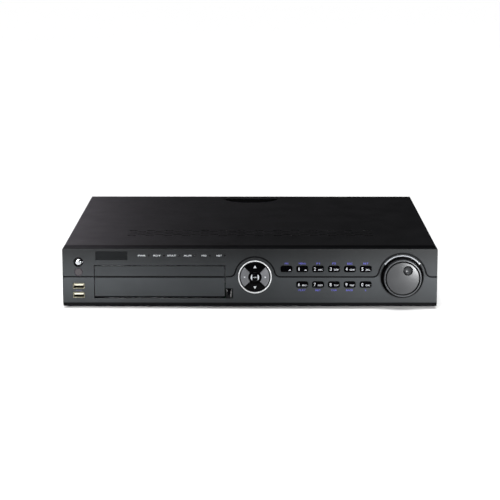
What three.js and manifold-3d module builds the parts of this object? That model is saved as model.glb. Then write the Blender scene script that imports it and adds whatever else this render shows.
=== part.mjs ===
// Rack-width digital video recorder, 445 x 390 x 70 mm on low feet.
// Millimetres. X runs to the right of the front panel, Y runs from the front to the back, Z is up.
// Everything is laid out from the front face (y = 0) and the floor (z = 0); the last lines
// move the whole assembly so that its origin is under the middle of its bounding box.
import * as THREE from "three";
import { mergeVertices } from "three/addons/utils/BufferGeometryUtils.js";
import Module from "manifold-3d";

const wasm = await Module();
wasm.setup();

// ---------------------------------------------------------------- driving dimensions
const W = 445; // width of bezel and cover
const DEPTH = 390; // front face to back of the rear panel
const TOP = 73; // top of the bezel above the floor
const BEZEL_BOTTOM = 3; // underside of the bezel
const BEZEL_DEPTH = 24; // bezel front face to its back edge
const WALL = 3; // bezel front wall
const SHEET = 1; // steel sheet
const COVER_TOP = 72.5; // the cover sits half a millimetre under the bezel's top
const COVER_START = 25.4; // gap of about 1.4 mm behind the bezel
const FLOOR_Z = 4.5; // underside of the chassis floor
const GROOVE_Z = 39.1; // height of the styling groove across the front
const GROOVE_W = 1.4;
const GROOVE_D = 1.0;

// optical drive flap
const FLAP_X0 = -184.35, FLAP_X1 = -29.75, FLAP_Z0 = 14.0, FLAP_Z1 = 52.35;
const FLAP_T = 2.4; // thickness of the flap panel
const BARREL_R = 2.2; // rounded lower edge, turning about the hinge axis
const HINGE_Y = 2.2, HINGE_Z = FLAP_Z0 + BARREL_R;
const HINGE_EARS = [-170, -44]; // x of the two hinge ears
// navigation cluster
const NAV_X = 6.0, NAV_Z = 39.1, NAV_R_OUT = 20.3, NAV_R_IN = 18.3;
// number keys
const KEY_W = 13.8, KEY_H = 7.3, KEY_R = 2.5, KEY_GAP = 0.35;
const KEY_X0 = 43.4, KEY_PITCH = 18.8, KEY_UP_Z = 48.9, KEY_LOW_Z = 30.0;
// jog and shuttle
const JOG_X = 180.8, JOG_Z = 39.2, WELL_R = 24.3, RING_R = 22.2, DIAL_R = 19.3;
const DIAL_OUT = 11, RING_OUT = 10; // how far dial and ring stand out of the face
// left column
const LEFT_X = -203.4;
const POWER_Z = 56.9, IR_Z = 44.9, USB_Z = [28.1, 17.1];
const LED_Z = 64.85, LED_X0 = -120, LED_PITCH = 18.08;
// eject button
const EJ_X0 = -28.9, EJ_X1 = -20.8, EJ_Z0 = 13.5, EJ_Z1 = 24.7;

// ---------------------------------------------------------------- materials
const paint = (color, roughness, metalness) =>
  new THREE.MeshStandardMaterial({ color, roughness, metalness });
const M = {
  bezel: paint(0x43474a, 0.42, 0.0),
  cover: paint(0x232226, 0.5, 0.3),
  steel: paint(0x8f9398, 0.45, 0.9),
  gloss: paint(0x0b0b0d, 0.12, 0.0),
  chrome: paint(0xd9dde0, 0.15, 1.0),
  dial: paint(0x54575b, 0.38, 0.2),
  silver: paint(0xb9bcc0, 0.25, 0.8),
  nickel: paint(0xc9c8bd, 0.28, 0.9),
  smoke: paint(0x3a3438, 0.15, 0.0),
  lens: paint(0x20262a, 0.2, 0.0),
  board: paint(0x1f5a34, 0.6, 0.0),
  fins: paint(0xa8abb0, 0.4, 0.8),
  black: paint(0x17181a, 0.6, 0.0),
  terminal: paint(0x2f7a44, 0.5, 0.0),
  rubber: paint(0x141414, 0.85, 0.0),
  cast: paint(0x7d8187, 0.5, 0.8),
};

// ---------------------------------------------------------------- solids
function solid(geometry) {
  const g = geometry.clone();
  g.deleteAttribute("normal");
  g.deleteAttribute("uv");
  const m = mergeVertices(g, 1e-4);
  const vertProperties = new Float32Array(m.attributes.position.array);
  let triVerts = new Uint32Array(m.index.array);
  // drop triangles that collapsed on an axis
  const keep = [];
  for (let i = 0; i < triVerts.length; i += 3) {
    const [a, b, c] = [triVerts[i], triVerts[i + 1], triVerts[i + 2]];
    if (a !== b && b !== c && a !== c) keep.push(a, b, c);
  }
  triVerts = new Uint32Array(keep);
  let s = new wasm.Manifold(new wasm.Mesh({ numProp: 3, vertProperties, triVerts }));
  if (s.volume() < 0) {
    for (let i = 0; i < triVerts.length; i += 3)
      [triVerts[i + 1], triVerts[i + 2]] = [triVerts[i + 2], triVerts[i + 1]];
    s = new wasm.Manifold(new wasm.Mesh({ numProp: 3, vertProperties, triVerts }));
  }
  return s;
}
function geometryOf(s) {
  const m = s.getMesh();
  const n = m.numProp;
  const v = new Float32Array(m.numVert * 3);
  for (let i = 0; i < m.numVert; i++) v.set(m.vertProperties.subarray(i * n, i * n + 3), i * 3);
  const g = new THREE.BufferGeometry();
  g.setAttribute("position", new THREE.BufferAttribute(v, 3));
  g.setIndex(new THREE.BufferAttribute(new Uint32Array(m.triVerts), 1));
  g.computeVertexNormals();
  return g;
}
const union = (list) => list.reduce((a, b) => a.add(b));
const cut = (a, list) => list.reduce((x, b) => x.subtract(b), a);

const box = (x0, x1, y0, y1, z0, z1) =>
  solid(
    new THREE.BoxGeometry(x1 - x0, y1 - y0, z1 - z0).translate(
      (x0 + x1) / 2, (y0 + y1) / 2, (z0 + z1) / 2,
    ),
  );
// cylinder along Y, X or Z
const cylY = (x, z, r, y0, y1, n = 24, r2 = r) =>
  solid(new THREE.CylinderGeometry(r2, r, y1 - y0, n).translate(x, (y0 + y1) / 2, z));
const cylX = (y, z, r, x0, x1, n = 16) =>
  solid(
    new THREE.CylinderGeometry(r, r, x1 - x0, n).rotateZ(Math.PI / 2).translate((x0 + x1) / 2, y, z),
  );
const cylZ = (x, y, r, z0, z1, n = 16, r2 = r) =>
  solid(new THREE.CylinderGeometry(r2, r, z1 - z0, n).rotateX(Math.PI / 2).translate(x, y, (z0 + z1) / 2));
// an outline in x and z, from y0 to y1
const slabY = (shape, y0, y1, segments = 6) =>
  solid(
    new THREE.ExtrudeGeometry(shape, { depth: y1 - y0, bevelEnabled: false, curveSegments: segments })
      .rotateX(Math.PI / 2)
      .translate(0, y1, 0),
  );
// an outline in x and y, from z0 to z1
const slabZ = (shape, z0, z1, segments = 6) =>
  solid(
    new THREE.ExtrudeGeometry(shape, { depth: z1 - z0, bevelEnabled: false, curveSegments: segments })
      .translate(0, 0, z0),
  );
// an outline in y and z, from x0 to x1
const slabX = (points, x0, x1) =>
  solid(
    new THREE.ExtrudeGeometry(new THREE.Shape(points.map(([y, z]) => new THREE.Vector2(y, z))), {
      depth: x1 - x0,
      bevelEnabled: false,
    })
      .rotateX(Math.PI / 2)
      .rotateZ(Math.PI / 2)
      .translate(x0, 0, 0),
  );
// a profile of (radius, y) turned about an axis along Y through (x, z)
function turned(x, z, profile, n = 32) {
  const p = [...profile];
  const [a, b] = [p[0], p[p.length - 1]];
  if ((a[0] > 0 || b[0] > 0) && (a[0] !== b[0] || a[1] !== b[1])) p.push(a);
  return solid(new THREE.LatheGeometry(p.map(([r, y]) => new THREE.Vector2(r, y)), n).translate(x, 0, z));
}
function roundedShape(cx, cy, w, h, r) {
  const s = new THREE.Shape();
  const x0 = cx - w / 2, x1 = cx + w / 2, y0 = cy - h / 2, y1 = cy + h / 2;
  s.moveTo(x0 + r, y0);
  s.lineTo(x1 - r, y0);
  s.absarc(x1 - r, y0 + r, r, -Math.PI / 2, 0, false);
  s.lineTo(x1, y1 - r);
  s.absarc(x1 - r, y1 - r, r, 0, Math.PI / 2, false);
  s.lineTo(x0 + r, y1);
  s.absarc(x0 + r, y1 - r, r, Math.PI / 2, Math.PI, false);
  s.lineTo(x0, y0 + r);
  s.absarc(x0 + r, y0 + r, r, Math.PI, 1.5 * Math.PI, false);
  return s;
}

const assembly = new THREE.Group();
function add(name, s, material) {
  const mesh = new THREE.Mesh(geometryOf(s), material.clone());
  mesh.name = name;
  assembly.add(mesh);
  return mesh;
}

// ---------------------------------------------------------------- styling groove
// Level from the left edge, over the navigation cluster, level between the key rows,
// over the jog dial and level again to the right edge.
function grooveSolid(depth) {
  const line = []; // [x, z, normal x, normal z]
  const flat = (x) => line.push([x, GROOVE_Z, 0, 1]);
  function hump(cx, r, f, n) {
    const c = Math.sqrt(r * r + 2 * r * f); // start of the fillet, from the centre
    const a = Math.asin(f / (r + f)); // where fillet and circle meet, above the level
    const k = 5;
    flat(cx - c);
    for (let i = 1; i <= k; i++) {
      const t = -Math.PI / 2 + ((Math.PI / 2 - a) * i) / k;
      line.push([cx - c + f * Math.cos(t), GROOVE_Z + f + f * Math.sin(t), -Math.cos(t), -Math.sin(t)]);
    }
    for (let i = 1; i < n; i++) {
      const t = Math.PI - a - ((Math.PI - 2 * a) * i) / n;
      line.push([cx + r * Math.cos(t), GROOVE_Z + r * Math.sin(t), Math.cos(t), Math.sin(t)]);
    }
    for (let i = k; i >= 1; i--) {
      const t = -Math.PI / 2 + ((Math.PI / 2 - a) * i) / k;
      line.push([cx + c - f * Math.cos(t), GROOVE_Z + f + f * Math.sin(t), Math.cos(t), -Math.sin(t)]);
    }
    flat(cx + c);
  }
  flat(-W / 2 - 2);
  hump(NAV_X, 24.1, 7.2, 18);
  hump(JOG_X, 28.4, 7.5, 20);
  flat(W / 2 + 2);
  const h = GROOVE_W / 2;
  const upper = line.map(([x, z, nx, nz]) => new THREE.Vector2(x + nx * h, z + nz * h));
  const lower = line.map(([x, z, nx, nz]) => new THREE.Vector2(x - nx * h, z - nz * h));
  return slabY(new THREE.Shape([...lower, ...upper.reverse()]), -2, depth);
}
const groove = grooveSolid(GROOVE_D);

// ---------------------------------------------------------------- front bezel
const keySpots = [];
for (let i = 0; i < 6; i++) keySpots.push([["key_shift", "key_1", "key_2", "key_3", "key_4", "key_5"][i], KEY_X0 + i * KEY_PITCH, KEY_UP_Z]);
for (let i = 1; i < 6; i++) keySpots.push([["", "key_6", "key_7", "key_8", "key_9", "key_0"][i], KEY_X0 + i * KEY_PITCH, KEY_LOW_Z]);

{
  const outer = slabX(
    [[0, BEZEL_BOTTOM + 5.3], [4, BEZEL_BOTTOM], [BEZEL_DEPTH, BEZEL_BOTTOM], [BEZEL_DEPTH, TOP], [1, TOP], [0, TOP - 1]],
    -W / 2, W / 2,
  );
  const inner = slabX(
    [[WALL, 9], [6.2, 5.4], [BEZEL_DEPTH + 1, 5.4], [BEZEL_DEPTH + 1, TOP - 2.2], [WALL, TOP - 2.2]],
    -W / 2 + 2.4, W / 2 - 2.4,
  );
  let b = outer.subtract(inner);
  // ribs above and below the drive opening, and the two hinge ears on the lower one
  b = b.add(box(FLAP_X0 - 4, -31, WALL - 0.5, 8, 11.2, 12.9)).add(box(FLAP_X0 - 4, -24, WALL - 0.5, 8, 53.6, 55.2));
  b = b.add(box(FLAP_X0 - 4, FLAP_X0 - 1.2, WALL - 0.5, 8, 11.2, 55.2));
  const openings = [
    box(FLAP_X0 - 0.7, FLAP_X1 + 0.7, -1, WALL + 1, FLAP_Z0 - 0.7, FLAP_Z1 + 0.7), // drive flap
    slabY(roundedShape((EJ_X0 + EJ_X1) / 2, (EJ_Z0 + EJ_Z1) / 2, EJ_X1 - EJ_X0 + 0.9, EJ_Z1 - EJ_Z0 + 0.9, 1.6), -1, WALL + 1, 3),
    cylY(LEFT_X, POWER_Z, 4.4, -1, WALL + 1, 20), // power button
    cylY(LEFT_X, POWER_Z, 5.8, -1, 0.8, 24), // its sunk ring
    cylY(LEFT_X, IR_Z, 5.2, -1, WALL + 1, 20), // receiver window
    ...USB_Z.map((z) => box(LEFT_X - 7.1, LEFT_X + 7.1, -1, WALL + 1, z - 3.4, z + 3.4)),
    box(-183, -145.3, -1, 1.0, 59.4, 69.8), // seat of the blank name plate
    ...Array.from({ length: 6 }, (_, i) => cylY(LED_X0 + i * LED_PITCH, LED_Z, 1.15, -1, WALL + 1, 10)),
    cylY(NAV_X, NAV_Z, 19.6, -1, WALL + 1, 40), // navigation cluster
    ...keySpots.map(([, x, z]) => slabY(roundedShape(x, z, KEY_W + 2 * KEY_GAP, KEY_H + 2 * KEY_GAP, KEY_R + 0.3), -1, WALL + 1, 3)),
    cylY(JOG_X, JOG_Z, 25.6, -1, WALL + 1, 40), // seat of the jog well
    groove,
  ];
  b = cut(b, openings);
  for (const x of HINGE_EARS)
    b = b
      .add(box(x - 1.2, x + 1.2, 5.2, 8, 11.4, HINGE_Z + 1.1))
      .add(box(x - 1.2, x + 1.2, HINGE_Y, 6, HINGE_Z - 1.1, HINGE_Z + 1.1))
      .add(cylX(HINGE_Y, HINGE_Z, 1.1, x - 1.2, x + 1.2, 12))
      .add(cylX(HINGE_Y, HINGE_Z, 0.8, x - 2.7, x + 2.7, 12));
  add("front_bezel", b, M.bezel);
}

// ---------------------------------------------------------------- drive flap
{
  let f = box(FLAP_X0, FLAP_X1, 0, FLAP_T, HINGE_Z, FLAP_Z1).add(
    cylX(HINGE_Y, HINGE_Z, BARREL_R, FLAP_X0, FLAP_X1, 24),
  );
  for (const x of HINGE_EARS) {
    // a notch behind the front skin for the ear, with a pin hole on both sides of it
    f = f.subtract(cylX(HINGE_Y, HINGE_Z, 1.45, x - 1.7, x + 1.7, 16));
    f = f.subtract(box(x - 1.7, x + 1.7, HINGE_Y - 1.4, 6, HINGE_Z, HINGE_Z + 3.2));
    f = f.subtract(box(x - 1.7, x + 1.7, HINGE_Y - 1.4, 6, HINGE_Z - 3, HINGE_Z + 0.1));
    f = f.subtract(cylX(HINGE_Y, HINGE_Z, 1.05, x - 3.1, x + 3.1, 12));
  }
  f = f.subtract(groove);
  add("drive_flap", f, M.bezel);
}

// ---------------------------------------------------------------- eject button
{
  const cx = (EJ_X0 + EJ_X1) / 2, cz = (EJ_Z0 + EJ_Z1) / 2, w = EJ_X1 - EJ_X0, h = EJ_Z1 - EJ_Z0;
  const e = slabY(roundedShape(cx, cz, w, h, 1.2), -0.4, 6, 3)
    .add(slabY(roundedShape(cx, cz, w - 1.6, h - 1.6, 1), -1.2, 0, 3))
    .add(box(EJ_X0 + 0.3, EJ_X1 + 1.6, 4.9, 6.2, EJ_Z0 - 0.8, EJ_Z1 + 1.4))
    .add(box(cx - 1.5, cx + 1.5, 6, 9.3, cz - 3, cz + 3));
  add("eject_button", e, M.gloss);
}

// ---------------------------------------------------------------- left column
add(
  "power_button",
  turned(LEFT_X, POWER_Z, [[0, -1.1], [2, -0.9], [3.4, -0.2], [4.05, 0.6], [4.05, 4.4], [5.5, 4.4], [5.5, 5.6], [1.6, 5.6], [1.6, 10.8], [0, 10.8]], 24),
  M.silver,
);
add("ir_window", turned(LEFT_X, IR_Z, [[0, 0], [4.6, 0.05], [5, 0.4], [5, 3.4], [5.7, 3.4], [5.7, 4.6], [0, 4.6]], 24), M.smoke);
for (const [name, z] of [["usb_port_upper", USB_Z[0]], ["usb_port_lower", USB_Z[1]]]) {
  const shell = box(LEFT_X - 6.6, LEFT_X + 6.6, 0.5, 16, z - 2.95, z + 2.95)
    .subtract(box(LEFT_X - 6.2, LEFT_X + 6.2, -1, 13.5, z - 2.55, z + 2.55))
    .add(box(LEFT_X - 5.5, LEFT_X + 5.5, 2.2, 14, z + 0.1, z + 1.9));
  add(name, shell, M.nickel);
}
add("name_plate", box(-182.8, -145.5, 0.15, 0.9, 59.6, 69.6), M.lens);
add(
  "indicator_light_guide",
  union([
    ...Array.from({ length: 6 }, (_, i) => cylY(LED_X0 + i * LED_PITCH, LED_Z, 0.95, 0.1, 7, 10)),
    box(LED_X0 - 2, LED_X0 + 5 * LED_PITCH + 2, 6.2, 7.8, LED_Z - 1.6, LED_Z + 1.6),
  ]),
  M.lens,
);

// ---------------------------------------------------------------- navigation cluster
add(
  "nav_ring",
  turned(NAV_X, NAV_Z, [[NAV_R_IN, 2.8], [NAV_R_IN, -0.5], [NAV_R_IN + 0.6, -1.1], [NAV_R_OUT - 0.5, -1.1], [NAV_R_OUT, -0.5], [NAV_R_OUT, -0.1], [19.3, -0.1], [19.3, 2.8], [NAV_R_IN, 2.8]], 40),
  M.chrome,
);
// A quarter of the cluster: the sector between two diagonal gaps.
function sector(angle, halfGap, r, y0, y1) {
  const s = new THREE.Shape();
  const d = halfGap * Math.SQRT2; // apex of the sector, moved out by the gap
  const ca = Math.cos(angle), sa = Math.sin(angle);
  const at = (u, v) => new THREE.Vector2(NAV_X + u * ca - v * sa, NAV_Z + u * sa + v * ca);
  const p = [at(d, 0), at(d + r, -r), at(d + r, r)];
  s.setFromPoints(p);
  return slabY(s, y0, y1);
}
const NAV_DIRS = [["nav_right", 0], ["nav_up", Math.PI / 2], ["nav_left", Math.PI], ["nav_down", 1.5 * Math.PI]];
{
  const R0 = 8.2, R1 = 16.7;
  for (const [name, a] of NAV_DIRS) {
    const cap = turned(NAV_X, NAV_Z, [[R0, 4.9], [R0, -2.2], [R0 + 0.6, -2.5], [R1 - 0.7, -0.9], [R1, -0.3], [R1, 3.4], [17.7, 3.4], [17.7, 4.9], [R0, 4.9]], 40);
    let q = cap.intersect(sector(a, 0.55, 40, -6, 6));
    const cx = NAV_X + 12.2 * Math.cos(a), cz = NAV_Z + 12.2 * Math.sin(a);
    q = q.add(cylY(cx, cz, 1.6, 4.5, 9.3, 10));
    add(name, q, M.gloss);
  }
  add(
    "enter_button",
    turned(NAV_X, NAV_Z, [[0, -3.4], [2.6, -3.15], [4.9, -2.5], [6.3, -1.5], [6.8, -0.6], [6.8, 3.4], [7.7, 3.4], [7.7, 4.9], [1.8, 4.9], [1.8, 9.3], [0, 9.3]], 32),
    M.gloss,
  );
  // black cross-shaped base between the caps
  let base = turned(NAV_X, NAV_Z, [[0, 0.8], [18.1, 0.8], [18.1, 2.8], [0, 2.8], [0, 0.8]], 40);
  base = base.subtract(cylY(NAV_X, NAV_Z, 7.1, -1, 5, 32));
  const ring = turned(NAV_X, NAV_Z, [[7.95, 5], [7.95, -1], [17.0, -1], [17.0, 5], [7.95, 5]], 40);
  for (const [, a] of NAV_DIRS) base = base.subtract(ring.intersect(sector(a, 0.3, 40, -2, 6)));
  add("nav_base", base, M.gloss);
}

// ---------------------------------------------------------------- number keys
for (const [name, x, z] of keySpots) {
  const k = slabY(roundedShape(x, z, KEY_W, KEY_H, KEY_R), -0.5, 4.9, 3)
    .add(slabY(roundedShape(x, z, KEY_W - 1.6, KEY_H - 1.6, KEY_R - 0.8), -1.0, 0, 2))
    .add(box(x - KEY_W / 2 - 1, x + KEY_W / 2 + 1, 3.5, 4.9, z - KEY_H / 2 - 1, z + KEY_H / 2 + 1))
    .add(cylY(x, z, 1.6, 4.5, 9.3, 6));
  add(name, k, M.gloss);
}

// ---------------------------------------------------------------- jog and shuttle
add(
  "jog_well",
  turned(JOG_X, JOG_Z, [[7.8, 7.4], [7.8, 6], [23.6, 6], [WELL_R, 5.2], [WELL_R, 0.05], [25.3, 0.05], [25.3, 3.2], [27, 3.2], [27, 4.4], [25.3, 4.4], [25.3, 7.4], [7.8, 7.4]], 40),
  M.black,
);
add(
  "shuttle_ring",
  turned(JOG_X, JOG_Z, [[4, 8.8], [4, 3.2], [20.2, 3.2], [20.2, -9.6], [20.5, -RING_OUT], [21.8, -RING_OUT], [RING_R, -9.4], [RING_R + 0.6, 4.6], [7, 4.6], [7, 8.8], [4, 8.8]], 48),
  M.dial,
);
{
  let dial = turned(JOG_X, JOG_Z, [[0, -DIAL_OUT + 0.2], [17.8, -DIAL_OUT + 0.2], [18.5, -DIAL_OUT], [19.0, -DIAL_OUT + 0.2], [DIAL_R, -DIAL_OUT + 0.8], [DIAL_R, 2], [3, 2], [3, 12.6], [0, 12.6]], 48);
  // finger dimple
  dial = dial.subtract(
    solid(new THREE.SphereGeometry(9, 24, 14).translate(JOG_X + 6, -DIAL_OUT + 0.2 - 7.2, JOG_Z + 10.1)),
  );
  add("jog_dial", dial, M.dial);
}

// ---------------------------------------------------------------- front boards
{
  let board = box(-16, 216, 14, 15.6, 8, 68).add(box(-31.5, -15, 14, 15.6, 10, 29));
  const sw = (x, z) => box(x - 3, x + 3, 10.6, 14.2, z - 3, z + 3);
  const list = keySpots.map(([, x, z]) => sw(x, z));
  for (const [, a] of NAV_DIRS) list.push(sw(NAV_X + 12.2 * Math.cos(a), NAV_Z + 12.2 * Math.sin(a)));
  list.push(sw(NAV_X, NAV_Z), sw((EJ_X0 + EJ_X1) / 2, (EJ_Z0 + EJ_Z1) / 2));
  // rotary encoder with a blind bore for the dial's shaft
  let enc = cylY(JOG_X, JOG_Z, 13, 9.4, 14.2, 24);
  board = union([board, ...list, enc]).subtract(cylY(JOG_X, JOG_Z, 3.4, 8, 13.2, 16));
  add("front_control_board", board, M.board);
  add(
    "front_io_board",
    box(-217, -189.5, 16.4, 18, 8, 69).add(box(LEFT_X - 3, LEFT_X + 3, 12.4, 16.6, POWER_Z - 3, POWER_Z + 3)).add(box(LEFT_X - 3, LEFT_X + 3, 6, 16.6, IR_Z - 3.5, IR_Z + 3.5)),
    M.board,
  );
}

// ---------------------------------------------------------------- optical drive and tray
const DRV_X = (FLAP_X0 + FLAP_X1) / 2, DRV_Z0 = 12.4, DRV_Z1 = 53.7;
{
  // a sheet case, open at the back, with a moulded front plate round the tray slot
  let d = box(DRV_X - 73, DRV_X + 73, 12, 180, DRV_Z0, DRV_Z1)
    .subtract(box(DRV_X - 71.8, DRV_X + 71.8, 13.4, 182, DRV_Z0 + 1.2, DRV_Z1 - 1.2))
    .add(box(DRV_X - 74, DRV_X + 74, 10, 12.4, DRV_Z0 - 0.3, DRV_Z1 - 1));
  d = d.subtract(box(DRV_X - 67, DRV_X + 67, 7, 30, 31, 47));
  add("optical_drive", d, M.cast);
  let t = box(DRV_X - 66.4, DRV_X + 66.4, 10.1, 12, 31.5, 46.5).add(box(DRV_X - 65, DRV_X + 65, 11, 156, 34, 39.5));
  t = t.subtract(cylZ(DRV_X, 80, 60.5, 37.6, 45, 48)).subtract(cylZ(DRV_X, 80, 21, 30, 45, 24)).subtract(box(DRV_X - 12, DRV_X + 12, 80, 150, 30, 45));
  add("disc_tray", t, M.black);
}

// ---------------------------------------------------------------- chassis, cover, panels
const EAR_HOLES = [[40, 18], [40, 58], [76, 18], [76, 58]]; // y, z of the rack ear screws
{
  let c = union([
    box(-W / 2 + 1.3, W / 2 - 1.3, 25.6, 387.6, FLOOR_Z, FLOOR_Z + SHEET),
    box(-W / 2 + 1.3, -W / 2 + 2.3, 25.6, 387.6, FLOOR_Z, 70.5),
    box(W / 2 - 2.3, W / 2 - 1.3, 25.6, 387.6, FLOOR_Z, 70.5),
    // stand-offs of the main board
    ...[[-25, 215], [-25, 372], [205, 215], [205, 372]].map(([x, y]) => cylZ(x, y, 3, FLOOR_Z + 0.5, 12.7, 8)),
    // rails of the optical drive
    box(DRV_X - 73, DRV_X - 63, 40, 170, FLOOR_Z + 0.5, 12.1), box(DRV_X + 63, DRV_X + 73, 40, 170, FLOOR_Z + 0.5, 12.1),
  ]);
  const vents = [];
  for (const s of [-1, 1]) {
    for (const [y, z] of EAR_HOLES) vents.push(cylX(y, z, 1.7, s * (W / 2 - 2) - 3, s * (W / 2 - 2) + 3, 8));
    for (let i = 0; i < 9; i++) vents.push(box(s * (W / 2 - 1.8) - 2, s * (W / 2 - 1.8) + 2, 260 + i * 10, 263 + i * 10, 26, 54));
  }
  c = cut(c, vents);
  add("chassis_base", c, M.steel);

  add(
    "front_subpanel",
    cut(box(-W / 2 + 3, W / 2 - 3, 25.7, 26.7, 6, 70), [
      box(DRV_X - 73.8, DRV_X + 73.8, 20, 30, 11.6, 54.8),
      box(-212, -195, 20, 30, 12, 34),
      box(20, 160, 20, 30, 16, 26),
    ]),
    M.steel,
  );

  let t = union([
    box(-W / 2, W / 2, COVER_START, DEPTH, COVER_TOP - SHEET, COVER_TOP),
    box(-W / 2, -W / 2 + SHEET, COVER_START, DEPTH, 6, COVER_TOP),
    box(W / 2 - SHEET, W / 2, COVER_START, DEPTH, 6, COVER_TOP),
    box(-W / 2, W / 2, DEPTH - SHEET, DEPTH, 63, COVER_TOP),
  ]);
  // finger scoop near the back edge: straight at the back, round at the front, sloping down to the back
  const scoop = (grow) => {
    const s = new THREE.Shape();
    const hw = 37.7 + grow, y1 = 369 + grow, d = 33.5 + 2 * grow;
    const R = (hw * hw + d * d) / (2 * d);
    const a = Math.asin(Math.min(1, hw / R));
    s.moveTo(hw, y1);
    for (let i = 1; i <= 16; i++) {
      const t = a - (2 * a * i) / 16;
      s.lineTo(R * Math.sin(t), y1 - d + R - R * Math.cos(t));
    }
    return s;
  };
  t = t.add(slabZ(scoop(1.2), COVER_TOP - 4.8, COVER_TOP - 0.5));
  const slope = solid(
    new THREE.BoxGeometry(100, 90, 20)
      .translate(0, 0, 10)
      .rotateX(-Math.atan2(3.6, 33.5))
      .translate(0, 369, COVER_TOP - 3.6),
  );
  t = t.subtract(slabZ(scoop(0), COVER_TOP - 10, COVER_TOP + 5).intersect(slope));
  // five staggered rows of ventilation slots
  const slots = [];
  for (let row = 0; row < 5; row++) {
    const y = 90.3 + row * 8.27, n = row % 2 ? 13 : 14, x0 = row % 2 ? -135.0 : -146.25;
    for (let i = 0; i < n; i++) {
      const x = x0 + i * 22.5;
      slots.push(box(x - 5.1, x + 5.1, y - 1.5, y + 1.5, COVER_TOP - 3, COVER_TOP + 1));
    }
  }
  for (const s of [-1, 1]) {
    for (const [y, z] of EAR_HOLES) slots.push(cylX(y, z, 2.2, s * (W / 2) - 3, s * (W / 2) + 3, 8));
    for (let i = 0; i < 9; i++) slots.push(box(s * (W / 2) - 3, s * (W / 2) + 3, 260 + i * 10, 263 + i * 10, 26, 54));
  }
  for (const x of [-150, 150]) slots.push(cylY(x, 67.5, 1.8, DEPTH - 3, DEPTH + 2, 8));
  t = t.subtract(union(slots));
  add("top_cover", t, M.cover);
  for (const [i, x] of [-150, 150].entries())
    add(
      "cover_screw_" + (i + 1),
      turned(x, 67.5, [[0, DEPTH + 2.0], [1.6, DEPTH + 1.9], [2.8, DEPTH + 1.2], [3.1, DEPTH + 0.15], [1.45, DEPTH + 0.15], [1.45, DEPTH - 6], [0, DEPTH - 6]], 12).subtract(
        union([box(x - 1.8, x + 1.8, DEPTH + 1.0, DEPTH + 3, 67.2, 67.8), box(x - 0.3, x + 0.3, DEPTH + 1.0, DEPTH + 3, 65.7, 69.3)]),
      ),
      M.chrome,
    );
}

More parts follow.
